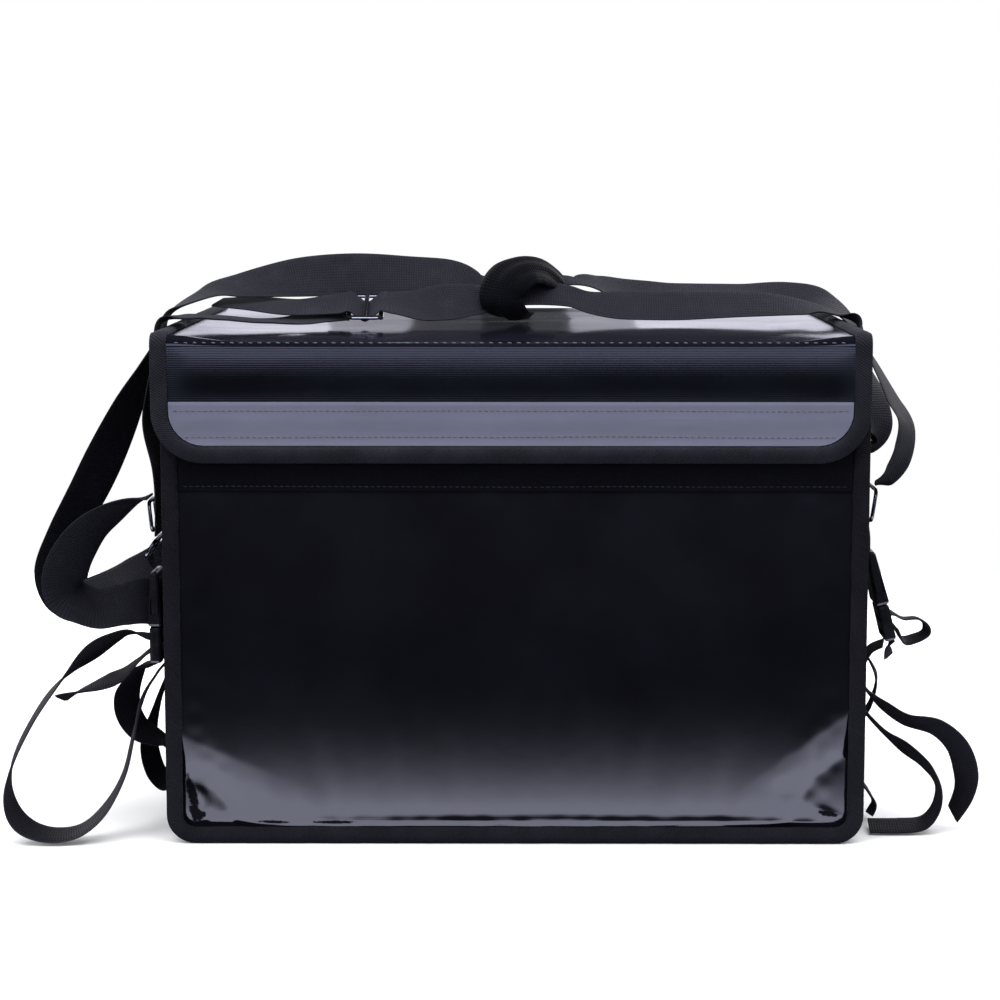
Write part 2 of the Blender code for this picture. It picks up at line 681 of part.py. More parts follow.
LEFT_SHORT_LOOP = (
    ("buckle", -1, 0.30, FOOT, FLAT),
    ("left", 0.225, -0.753, 1.092, (0.20, 0.97, 0.00)),
    ("side", 0.280, -0.707, 0.308, (0.50, 0.85, 0.00)),
    ("side", 0.325, -0.687, 0.270, (0.70, 0.70, 0.00)),
    ("side", 0.315, -0.687, 0.232, (0.68, 0.70, 0.20)),
    ("side", 0.250, -0.687, 0.199, (0.40, 0.80, 0.40)),
    ("side", 0.150, -0.687, 0.182, (0.00, 0.92, 0.38)),
    ("side", 0.070, -0.687, 0.168, FLAT),
    ("wall", -1, -0.687, 0.130, FLAT),
)

LEFT_LOW_LOOP = (
    ("wall", -1, -0.500, 0.360, FLAT),
    ("side", 0.090, -0.507, 0.306, FLAT),
    ("side", 0.170, -0.507, 0.236, (0.10, 0.99, 0.00)),
    ("side", 0.230, -0.507, 0.160, (0.40, 0.91, 0.00)),
    ("side", 0.200, -0.507, 0.098, (0.35, 0.89, 0.30)),
    ("side", 0.130, -0.507, 0.070, (0.00, 0.88, 0.48)),
    ("side", 0.070, -0.507, 0.092, (0.00, 0.98, 0.20)),
    ("wall", -1, -0.507, 0.130, FLAT),
)

RIGHT_ANCHOR_TAPE = (
    ("wall", 1, RING_LINE, 0.500, FLAT),
    ("wall", 1, RING_LINE, 0.560, FLAT),
    ("right", 0.085, RING_LINE, -0.129, FLAT),
    ("right", 0.120, RING_LINE, -0.255, FLAT),
)

RIGHT_BUCKLE_TAPE = (
    ("wall", 1, HARDWARE_LINE, 0.720, FLAT),
    ("wall", 1, HARDWARE_LINE, 0.655, FLAT),
    ("right", 0.075, HARDWARE_LINE, -0.155, FLAT),
    ("buckle", 1, 0.0, -0.012, FLAT),
)

RIGHT_BOW = (
    ("buckle", 1, 0.00, SLOT_ABOVE, FLAT),
    ("buckle", 1, 0.60, SLOT_ABOVE, FLAT),
    ("right", 0.400, -0.773, 0.763, (0.00, 0.98, -0.10)),
    ("right", 0.520, -0.767, 0.768, (0.00, 0.98, -0.10)),
    ("right", 0.598, -0.767, 0.833, (-0.08, 1.00, 0.00)),
    ("right", 0.600, -0.767, 0.924, (-0.08, 1.00, 0.00)),
    ("right", 0.520, -0.767, 0.983, (0.00, 0.98, 0.10)),
    ("right", 0.400, -0.773, 1.005, (0.00, 0.98, 0.10)),
    ("buckle", 1, 0.60, SLOT_BELOW, FLAT),
    ("buckle", 1, 0.00, SLOT_BELOW, FLAT),
)

RIGHT_STRAP_END = (
    ("buckle", 1, 0.30, 1.034, (0.10, 1.00, 0.00)),
    ("right", 0.270, -0.790, 1.080, (0.30, 0.95, 0.00)),
    ("right", 0.275, -0.790, 1.176, (0.40, 0.92, 0.00)),
)

RIGHT_LOWER_TAPE = (
    ("buckle", 1, -0.44, FOOT, FLAT),
    ("right", 0.120, -0.773, 1.112, FLAT),
    ("wall", 1, -0.767, 0.345, FLAT),
    ("wall", 1, -0.767, 0.328, FLAT),
)

RIGHT_BULGING_TAPE = (
    ("wall", 1, -0.510, 0.375, FLAT),
    ("other", 0.175, -0.510, 0.335, FLAT),
    ("other", 0.260, -0.510, 0.290, (0.15, 0.99, 0.00)),
    ("other", 0.210, -0.510, 0.236, (0.10, 0.99, 0.00)),
    ("other", 0.110, -0.510, 0.200, FLAT),
    ("wall", 1, -0.510, 0.165, FLAT),
)

RIGHT_UPPER_TAIL = (
    ("wall", 1, -0.745, 0.310, FLAT),
    ("other", 0.110, -0.740, 0.288, (0.00, 1.00, -0.10)),
    ("other", 0.262, -0.747, 0.256, (-0.10, 0.92, -0.38)),
    ("other", 0.450, -0.760, 0.228, (-0.05, 0.86, -0.50)),
    ("other", 0.707, -0.773, 0.214, (-0.15, 0.76, -0.60)),
    ("other", 0.885, -0.787, 0.178, (-0.50, 0.74, -0.40)),
    ("other", 0.965, -0.787, 0.127, (-0.67, 0.74, 0.00)),
    ("other", 0.960, -0.773, 0.079, (-0.45, 0.88, 0.10)),
    ("other", 0.880, -0.747, 0.030, (-0.20, 0.97, 0.10)),
)

RIGHT_LOWER_TAIL = (
    ("wall", 1, -0.667, 0.262, FLAT),
    ("other", 0.110, -0.667, 0.238, (0.00, 1.00, -0.10)),
    ("other", 0.270, -0.693, 0.198, (-0.05, 0.96, -0.20)),
    ("other", 0.455, -0.720, 0.166, (-0.16, 0.90, -0.38)),
    ("other", 0.635, -0.747, 0.132, (-0.20, 0.96, -0.18)),
    ("other", 0.735, -0.773, 0.093, (-0.05, 1.00, 0.00)),
    ("other", 0.715, -0.793, 0.050, (-0.05, 1.00, 0.05)),
    ("other", 0.600, -0.807, 0.0195, (0.00, 0.98, 0.18)),
    ("other", 0.396, -0.813, 0.0135, (0.00, 0.97, 0.22)),
    ("other", 0.130, -0.807, 0.0130, (0.00, 0.97, 0.20)),
)

RIGHT_FLOOR_LOOP = (
    ("wall", 1, -0.600, 0.130, FLAT),
    ("other", 0.100, -0.600, 0.088, FLAT),
    ("other", 0.175, -0.607, 0.062, FLAT),
    ("other", 0.226, -0.620, 0.037, FLAT),
    ("other", 0.185, -0.627, 0.014, FLAT),
)


OVER_AND_UNDER = ((-1.7, 0.6), (-1.0, 1.0), (-0.52, 0.0), (0.0, -1.0), (0.52, 0.0), (1.0, 1.0), (1.7, 0.6))
UNDER_FIRST_BAR = ((-2.2, -1.1), (-1.5, -0.85), (-0.95, -0.75))


def placed(rows):
    """Rows of a table as places in metres, each with the way across the webbing."""
    made = []
    for kind, first, second, third, across in rows:
        if kind == "wall":
            place = on_wall(first, second, third)
        elif kind == "lid":
            place = on_lid(first, second, third)
        elif kind == "buckle":
            place = on_buckle(first, second, third)
        elif kind in ("left", "right"):
            place = near_buckle(-1 if kind == "left" else 1, first, second, third)
        else:
            place = at_side(-1 if kind == "side" else 1, first, second, third)
        made.append((place, across))
    return made


def slider_rows(ways):
    """Webbing at the slider: how far along it in bar spacings, and how far over or under it."""
    lean = math.radians(SLIDER_LEAN_BACK)
    across = Vector((0, math.cos(lean), math.sin(lean)))
    up = Vector((0, -math.sin(lean), math.cos(lean)))
    middle = Vector(on_lid(*SLIDER_PLACE))
    bar = (SLIDER_LENGTH - SLIDER_RIM) / 2
    weave = SLIDER_THICK / 2 + WEB / 2 + 4 * FIT
    rows = []
    for along, way in ways:
        rows.append((tuple(middle + Vector((along * bar, 0, 0)) + up * weave * way), tuple(across)))
    return rows


def knot_rows():
    """The turn of webbing round both straps, from under the front, over the top and down behind."""
    middle = Vector((KNOT_ACROSS, KNOT_BEHIND, LID_TOP + KNOT_LIFT))
    rows = []
    for angle in range(12, 373, 24):
        turn = math.radians(angle)
        place = middle + Vector((0, -KNOT_DEEP * math.sin(turn), -KNOT_TALL * math.cos(turn)))
        place.x += KNOT_PITCH * (angle - 40) / 360
        rows.append((tuple(place), (1, 0, 0)))
    return rows


def box(name, size, place, group):
    shape = bmesh.new()
    bmesh.ops.create_cube(shape, size=1.0)
    bmesh.ops.scale(shape, vec=size, verts=shape.verts)
    mesh = bpy.data.meshes.new(name)
    shape.to_mesh(mesh)
    shape.free()
    made = bpy.data.objects.new(name, mesh)
    bpy.data.collections[group].objects.link(made)
    made.location = place
    return made


def moulded(name, size, place, look, carrier, rounding):
    piece = box(name, size, place, PARTS)
    piece.parent = carrier
    piece.data.materials.append(look)
    piece.data.shade_smooth()
    edge = piece.modifiers.new("rounding", "BEVEL")
    edge.width = rounding
    edge.segments = 2
    return piece


def change(piece, size, place, operation):
    """Cuts a box out of a moulded piece, or joins one to it."""
    tool = box(piece.name + "_tool", size, place, CUTTERS)
    tool.parent = piece.parent
    tool.hide_render = True
    tool.display_type = "WIRE"
    step = piece.modifiers.new(operation.lower(), "BOOLEAN")
    step.operation = operation
    step.object = tool
    step.solver = "EXACT"


def carrier_at(name, place, angle):
    empty = bpy.data.objects.new(name, None)
    empty.location = place
    empty.rotation_euler = Euler((0, angle, 0))
    bpy.data.collections[PARTS].objects.link(empty)
    return empty


def buckle(side_name, side, look):
    """A fastened side-release buckle, hanging down its carrier's -Z, its faces towards X."""
    place, _, _ = buckle_frame(side)
    lean = LEFT_BUCKLE_LEAN if side < 0 else RIGHT_BUCKLE_LEAN
    carrier = carrier_at(side_name + "_buckle", place, -side * math.radians(lean))
    length = BUCKLE_LENGTH - PLUG_LENGTH
    socket = moulded(
        side_name + "_buckle_socket",
        (BUCKLE_THICK, BUCKLE_WIDTH, length),
        (0, 0, -length / 2),
        look,
        carrier,
        BUCKLE_ROUND,
    )
    for corner in socket.data.vertices:
        if corner.co.z > 0:
            corner.co.x *= BUCKLE_TAPER
    hollow = (BUCKLE_THICK - 2 * BUCKLE_WALL, BUCKLE_WIDTH - 2 * BUCKLE_WALL)
    depth = PRONG_LENGTH + 0.002
    change(socket, (*hollow, depth * 2), (0, 0, -length), "DIFFERENCE")
    window = PRONG_LENGTH * 0.45
    middle = -length + PRONG_LENGTH * 0.62
    change(socket, (hollow[0], BUCKLE_WIDTH * 1.2, window), (0, 0, middle), "DIFFERENCE")
    bar = SLOT_HEIGHT + BUCKLE_WALL * 1.6
    change(socket, (BUCKLE_THICK * 1.5, SLOT_WIDTH, SLOT_HEIGHT), (0, 0, SLOT_HEIGHT / 2 - bar), "DIFFERENCE")
    start = -length - FIT
    height = PLUG_LENGTH - FIT
    plug = moulded(
        side_name + "_buckle_plug",
        (PLUG_THICK, PLUG_WIDTH, height),
        (0, 0, start - height / 2),
        look,
        carrier,
        BUCKLE_ROUND,
    )
    for share in PLUG_SLOTS:
        change(plug, (BUCKLE_THICK, SLOT_WIDTH, SLOT_HEIGHT), (0, 0, start - height * share), "DIFFERENCE")
    prong = (hollow[0] - 0.0012, 0.0034, PRONG_LENGTH * 1.1)
    inside = hollow[1] / 2 - prong[1] / 2 - FIT * 2
    rise_to = start + PRONG_LENGTH / 2 - PRONG_LENGTH * 0.05
    for y in (-inside, 0, inside):
        change(plug, prong, (0, y, rise_to), "UNION")
    bump = (prong[0], 0.0034, window - 4 * FIT)
    for way in (-1, 1):
        change(plug, bump, (0, way * (inside + 0.0018), middle), "UNION")


def slider(look):
    """The cast slider: a frame with a middle bar, leaning back with the strap that it carries."""
    lean = math.radians(SLIDER_LEAN_BACK)
    plate = box("top_slider", (SLIDER_LENGTH, SLIDER_WIDTH, SLIDER_THICK), (0, 0, 0), PARTS)
    plate.location = on_lid(*SLIDER_PLACE)
    plate.rotation_euler = Euler((lean, 0, 0))
    plate.data.materials.append(look)
    plate.data.shade_smooth()
    edge = plate.modifiers.new("rounding", "BEVEL")
    edge.width = SLIDER_THICK * 0.3
    edge.segments = 2
    gap = (SLIDER_LENGTH - 3 * SLIDER_RIM) / 2
    for way in (-1, 1):
        tool = box("slider_slot", (gap, SLIDER_WIDTH - 2 * SLIDER_RIM, SLIDER_THICK * 2), (0, 0, 0), CUTTERS)
        tool.parent = plate
        tool.location = (way * (SLIDER_RIM + gap) / 2, 0, 0)
        tool.hide_render = True
        tool.display_type = "WIRE"
        step = plate.modifiers.new("slot", "BOOLEAN")
        step.operation = "DIFFERENCE"
        step.object = tool
        step.solver = "EXACT"


def wire_ring(name, low, length, width, lean, look):
    """A rectangular wire ring with round corners, up from the middle of its lower bar; it leans along X."""
    lean = math.radians(lean)
    along = Vector((-math.sin(lean), 0, -math.cos(lean)))
    top = Vector(low) - along * length
    path = []
    for turn_y, turn_z, start in ((1, 0, 0), (1, 1, 90), (-1, 1, 180), (-1, 0, 270)):
        y = turn_y * (width / 2 - RING_CORNER)
        down = RING_CORNER + turn_z * (length - 2 * RING_CORNER)
        for angle in (0, 30, 60, 90):
            turn = math.radians(start + angle)
            path.append((y + RING_CORNER * math.sin(turn), down - RING_CORNER * math.cos(turn)))
    curve = bpy.data.curves.new(name, "CURVE")
    curve.dimensions = "3D"
    curve.bevel_depth = WIRE / 2
    curve.bevel_resolution = 2
    line = curve.splines.new("POLY")
    line.points.add(len(path) - 1)
    for point, (y, down) in zip(line.points, path):
        point.co = (*(top + along * down + Vector((0, y, 0))), 1.0)
    line.use_cyclic_u = True
    curve.materials.append(look)
    piece = bpy.data.objects.new(name, curve)
    bpy.data.collections[PARTS].objects.link(piece)
    return piece


def main():
    clear_scene()
    coated = material("coated_fabric", (0.006, 0.006, 0.008), 0.22)
    weave = material("ripstop_fabric", (0.012, 0.014, 0.022), 0.45)
    tape = material("binding_tape", (0.016, 0.015, 0.019), 0.85)
    cloth = material("matte_fabric", (0.008, 0.008, 0.010), 0.9)
    silver = material("reflective_tape", (0.17, 0.18, 0.23), 0.35)
    webbing = material("webbing", (0.010, 0.010, 0.013), 0.8)
    plastic = material("moulded_plastic", (0.006, 0.006, 0.007), 0.25)
    steel = material("black_steel", (0.03, 0.03, 0.035), 0.3, 0.8)
    bright = material("bright_metal", (0.5, 0.5, 0.5), 0.2, 1.0)

    end_panel("front_panel", -1, coated)
    end_panel("back_panel", 1, cloth)
    gusset(coated)
    body_binding("front_binding", -1, tape)
    body_binding("back_binding", 1, tape)
    closure_band(cloth)
    lid_top(coated)
    lid_flap(weave)
    reflective_strip(silver)
    lid_binding(tape)

    knotted = placed(KNOTTED_STRAP_LEFT) + slider_rows(OVER_AND_UNDER) + placed(KNOTTED_STRAP_RIGHT)
    ribbon("shoulder_strap", placed(SHOULDER_STRAP), STRAP_WIDTH, webbing, gather=True)
    ribbon("knotted_strap", knotted, STRAP_WIDTH, webbing, gather=True)
    ribbon("strap_knot", knot_rows(), KNOT_WIDTH, webbing)
    ribbon("hook_strap", placed(HOOK_STRAP), STRAP_WIDTH, webbing)
    ribbon("adjuster_strap", placed(ADJUSTER_STRAP) + slider_rows(UNDER_FIRST_BAR), STRAP_WIDTH, webbing)
    narrow = (
        ("left_anchor_tape", LEFT_ANCHOR_TAPE),
        ("left_buckle_tape", LEFT_BUCKLE_TAPE),
        ("left_hanging_loop", LEFT_HANGING_LOOP),
        ("left_strap_tail", LEFT_STRAP_TAIL),
        ("left_short_loop", LEFT_SHORT_LOOP),
        ("left_low_loop", LEFT_LOW_LOOP),
        ("right_anchor_tape", RIGHT_ANCHOR_TAPE),
        ("right_buckle_tape", RIGHT_BUCKLE_TAPE),
        ("right_bow", RIGHT_BOW),
        ("right_strap_end", RIGHT_STRAP_END),
        ("right_lower_tape", RIGHT_LOWER_TAPE),
        ("right_bulging_tape", RIGHT_BULGING_TAPE),
        ("right_upper_tail", RIGHT_UPPER_TAIL),
        ("right_lower_tail", RIGHT_LOWER_TAIL),
        ("right_floor_loop", RIGHT_FLOOR_LOOP),
    )
    for name, rows in narrow:
        ribbon(name, placed(rows), NARROW_WIDTH, webbing)

    slider(bright)
    buckle("left", -1, plastic)
    buckle("right", 1, plastic)
    left_low = near_buckle(-1, 0.145, HARDWARE_LINE, -0.181)
    wire_ring("left_ring", left_low, LEFT_RING_LENGTH, RING_WIDTH, 33.0, steel)
    link_low = near_buckle(-1, 0.106, HARDWARE_LINE, -0.444)
    wire_ring("left_hook_link", link_low, LINK_LENGTH, LINK_WIDTH, -5.7, steel)
    right_low = near_buckle(1, 0.123, RING_LINE, -0.284)
    wire_ring("right_ring", right_low, RIGHT_RING_LENGTH, RING_WIDTH, 8.3, steel)


main()
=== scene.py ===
"""How the insulated delivery backpack looks: coated panels, woven bindings, webbing, stitches and fittings.

Metres, +Z up. The front of the bag faces -Y, and the origin is at the middle of the base's underside.
"""

import math

import bmesh
import bpy
from mathutils import Euler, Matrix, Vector, noise


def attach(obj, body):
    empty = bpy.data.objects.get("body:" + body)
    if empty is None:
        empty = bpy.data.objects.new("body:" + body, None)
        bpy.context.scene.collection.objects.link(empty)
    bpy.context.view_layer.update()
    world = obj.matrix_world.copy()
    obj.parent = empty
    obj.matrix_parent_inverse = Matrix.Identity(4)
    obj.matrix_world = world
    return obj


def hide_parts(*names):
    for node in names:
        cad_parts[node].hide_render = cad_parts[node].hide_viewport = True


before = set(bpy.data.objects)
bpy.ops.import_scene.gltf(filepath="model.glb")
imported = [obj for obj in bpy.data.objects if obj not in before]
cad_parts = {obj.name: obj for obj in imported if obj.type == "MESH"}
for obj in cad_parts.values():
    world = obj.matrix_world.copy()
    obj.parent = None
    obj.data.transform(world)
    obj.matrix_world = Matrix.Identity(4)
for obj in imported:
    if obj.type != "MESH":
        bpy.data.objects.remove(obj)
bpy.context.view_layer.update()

# Body: padded panels sewn to one strip that makes both sides and the base
BODY_WIDTH = 0.430
BODY_DEPTH = 0.300
BODY_HEIGHT = 0.3115
WALL = 0.007
BOTTOM_RADIUS = 0.016
FRONT_BULGE = 0.003
SIDE_BULGE = 0.003
BULGE_RISE = 0.045
FIT = 0.0003

# Woven tape that binds the sewn edges, and the fabric band below the lid
BINDING_COVER = 0.0085
BINDING_WRAP = 0.008
BINDING_PROUD = 0.0015
CLOSURE_HEIGHT = 0.062
CLOSURE_DROP = 0.028
CLOSURE_THICK = 0.0008

# Lid: a top panel that folds over the front edge, and a flap sewn to it
LID_THICK = 0.005
LID_LEFT = 0.0045
LID_RIGHT = -0.001
LID_STAND = 0.0035
FOLD_RADIUS = 0.0060
SEAM_DROP = 0.0062
FLAP_DROP = 0.0755
FLAP_RADIUS = 0.030
STRIP_HEIGHT = 0.0266
STRIP_THICK = 0.0005

# Webbing, and the knot in it
STRAP_WIDTH = 0.032
NARROW_WIDTH = 0.020
WEB = 0.0016
LEFT_REACH = 0.100
RIGHT_REACH = 0.073
KNOT_ACROSS = -0.002
KNOT_BEHIND = -0.008
KNOT_WIDTH = 0.027
KNOT_PITCH = 0.038
KNOT_GATHER = 0.30

# Buckles, wire rings and the cast slider
BUCKLE_LENGTH = 0.058
BUCKLE_THICK = 0.009
PLUG_LENGTH = 0.0235
PLUG_SLOTS = (0.36, 0.76)
WIRE = 0.0024
RING_WIDTH = 0.036
LINK_WIDTH = 0.024
RING_CORNER = 0.004
SLIDER_LENGTH = 0.024
SLIDER_WIDTH = 0.039
SLIDER_THICK = 0.003
SLIDER_RIM = 0.0032

# How far each buckle stands off the wall, how high it is as a share of the bag, and its lean in degrees
BUCKLES = {-1: (0.0098, 0.5393, 0.0), 1: (0.0057, 0.5811, 14.0)}

# Places as shares: of the half depth, and on the lid of the half width, half depth and strap
HARDWARE_LINE, RING_LINE = -0.787, -0.613
SLIDER_PLACE = (-0.450, -0.290, 0.36)
SLIDER_LEAN_BACK = 20.0

# Worked out from the sizes above
HALF_WIDTH = BODY_WIDTH / 2
HALF_DEPTH = BODY_DEPTH / 2
BASE_SEAM = BINDING_PROUD + 2 * FIT
LID_TOP = BODY_HEIGHT + FIT + LID_THICK
FLAP_FACE = HALF_DEPTH + LID_STAND + LID_THICK
CLOSURE_FOOT = BODY_HEIGHT - CLOSURE_DROP - CLOSURE_HEIGHT
FLAP_ROUND_TOP = LID_TOP - FLAP_DROP + FLAP_RADIUS
FOLD_ARC = FOLD_RADIUS * math.pi / 2
LID_BACK = -(FLAP_FACE - FOLD_RADIUS) - HALF_DEPTH
PANEL_FOOT = BASE_SEAM + BINDING_COVER
STITCH_INSET = BINDING_COVER - 0.0022

# The camera stands 1.5 m in front of the bag and looks slightly down on it
CAMERA_PLACE = (-0.0017, -1.6672, 0.4175)
CAMERA_TURN = (math.radians(90 - 7.565), 0, 0.005)
CAMERA_LENS = 90.0

# What the glossy front reflects: a lit table that fades away from the bag
GLOW_NEAR = 0.068
GLOW_FADE = 0.069
GLOW_BRIGHT = 3.75
GLOW_MOST = 4.1
UPRIGHT_GLOW = (math.radians(90), 0, 0)
PALE = (0.87, 0.86, 1.0)
DAYLIGHT = (0.9, 0.92, 1.0)

RELAX_FRAMES = 20

# Threads of the seams
STITCH = 0.0026
STITCH_GAP = 0.0011
THREAD = 0.00036
STITCH_FORM = ((0.0, -0.9, 0.35), (0.12, 0.15, 0.85), (0.5, 0.55, 1.0), (0.88, 0.15, 0.85), (1.0, -0.9, 0.35))
THREAD_SIDES = 6

FLAT = (0, 1, 0)
UPRIGHT = (0, 0, 1)
FOOT = 1.0 + FIT * 9 / BUCKLE_LENGTH
SLOT_ABOVE, SLOT_BELOW = (1 - PLUG_LENGTH / BUCKLE_LENGTH * (1 - share) for share in PLUG_SLOTS)

# Routes of the webbing, in runs: where a run is, then rows of the place in shares, and the way across the
# webbing where that isn't straight from front to back
SHOULDER_STRAP = (
    ("left wall", (.9, .64, *UPRIGHT), (.76, .626, *UPRIGHT), (.6, .61, *UPRIGHT), (.4, .59, *UPRIGHT),
     (.06, .54, *UPRIGHT)),
    ("left", (.08, -.08, .52, 0, .15, .98), (.18, -.23, .5, -.15, .5, .85),
     (.347, -.3, .487, -.25, .76, .6), (.54, -.333, .458, -.2, .76, .62), (.7, -.367, .443, 0, .76, .6),
     (.815, -.4, .458, .4, .76, .4), (.84, -.433, .516, .65, .74, 0), (.735, -.467, .597, .6, .76, -.25),
     (.575, -.5, .69, .62, .72, -.31), (.45, -.52, .77, .59, .74, -.3), (.33, -.52, .85, .45, .86, -.22),
     (.225, -.48, .92, .2, .97, -.1), (.13, -.42, .985, .05, 1, 0), (.07, -.36, 1.042, 0, 1, .05)),
    ("lid", (-.93, -.28, .62, 0, .96, .2), (-.83, -.2, .76, 0, .88, .42), (-.66, -.13, .92, 0, .66, .75),
     (-.5, -.095, .97, 0, .54, .84), (-.35, -.07, .96, 0, .66, .75), (-.19, -.06, .88, 0, .68, .73),
     (-.105, -.07, .68, 0, .72, .69), (.01, -.03, .72, 0, .85, .5), (.11, .01, .8, 0, .92, .35),
     (.2, -.005, .81, 0, .98, .15), (.285, .1, .68, 0, .94, .3), (.37, .16, .59, 0, .9, .38),
     (.5, .15, .56, 0, .93, .3), (.7, .15, .57, 0, .95, .26), (.86, .13, .51, 0, .87, .46),
     (.965, .08, .39, 0, .94, .34)),
    ("right", (.12, .03, 1.012, .1, .95, .25), (.21, -.04, .935, .3, .95, 0),
     (.31, -.09, .865, .55, .83, 0), (.355, -.12, .805, .65, .76, 0), (.29, -.15, .762, .45, .87, .1),
     (.18, -.175, .745, .15, .98, 0), (.095, -.188, .728)),
    ("right wall", (-.19, .7), (-.19, .65)),
)
HOOK_STRAP = (
    ("left wall", (.9, .3, *UPRIGHT), (.76, .311, *UPRIGHT), (.6, .324, *UPRIGHT), (.35, .345, *UPRIGHT),
     (-.12, .392, *UPRIGHT)),
    ("left", (.06, -.27, .411, 0, .15, .98), (.09, -.42, .43, -.1, .3, .95),
     (.21, -.58, .455, -.1, .58, .8), (.36, -.64, .453, -.15, .7, .69), (.5, -.67, .448, -.05, .73, .67),
     (.615, -.69, .462, .2, .73, .58), (.68, -.71, .48, .6, .65, .36), (.695, -.73, .51, .8, .6, 0),
     (.655, -.75, .555, .78, .6, -.12), (.54, -.77, .612, .55, .75, -.35)),
    ("left below", (.405, -.78, -.584, .3, .85, -.4), (.27, HARDWARE_LINE, -.723, .12, .95, -.25),
     (.137, HARDWARE_LINE, -.79)),
)
ADJUSTER_STRAP = (
    ("left below", (.083, HARDWARE_LINE, -.393), (.08, HARDWARE_LINE, -.702), (.085, HARDWARE_LINE, -.986)),
    ("left", (.1, -.747, .782, .2, .98, 0), (.12, -.733, .838, .25, .97, 0),
     (.11, -.72, .898, .15, .99, 0), (.09, -.7, .975), (.07, -.673, 1.032)),
    ("lid", (-.96, -.62, .24), (-.87, -.53, .2), (-.75, -.46, .12), (-.64, -.39, .12, 0, .98, .12)),
)
KNOTTED_STRAP_LEFT = (
    ("lid", (-.9, -.245, .44, 0, .98, .1), (-.79, -.27, .42, 0, .97, .2), (-.66, -.31, .355, 0, .96, .27)),
)
KNOTTED_STRAP_RIGHT = (
    ("lid", (-.29, -.25, .37, 0, .85, .52), (-.21, -.205, .43, 0, .74, .67),
     (-.13, -.175, .48, 0, .7, .71), (-.07, -.14, .52, 0, .78, .62), (.01, -.165, .6, 0, .74, .67),
     (.085, -.165, .61, 0, .76, .65), (.165, -.15, .54, 0, .82, .57), (.24, -.15, .4, 0, .86, .5),
     (.38, -.175, .36, 0, .84, .54), (.53, -.18, .36, 0, .85, .52), (.75, -.17, .38, 0, .9, .42),
     (.89, -.19, .3, 0, .97, .22), (.965, -.235, .2)),
    ("right", (.08, -.29, 1.022), (.12, -.335, .99), (.19, -.37, .958, .12, .98, .06),
     (.365, -.45, .875, .24, .96, .13), (.475, -.52, .818, .42, .9, -.08),
     (.425, -.58, .76, .48, .85, -.22)),
    ("right below", (.3, RING_LINE, -.735, .42, .88, -.22), (.184, RING_LINE, -.658, .22, .96, -.15)),
)
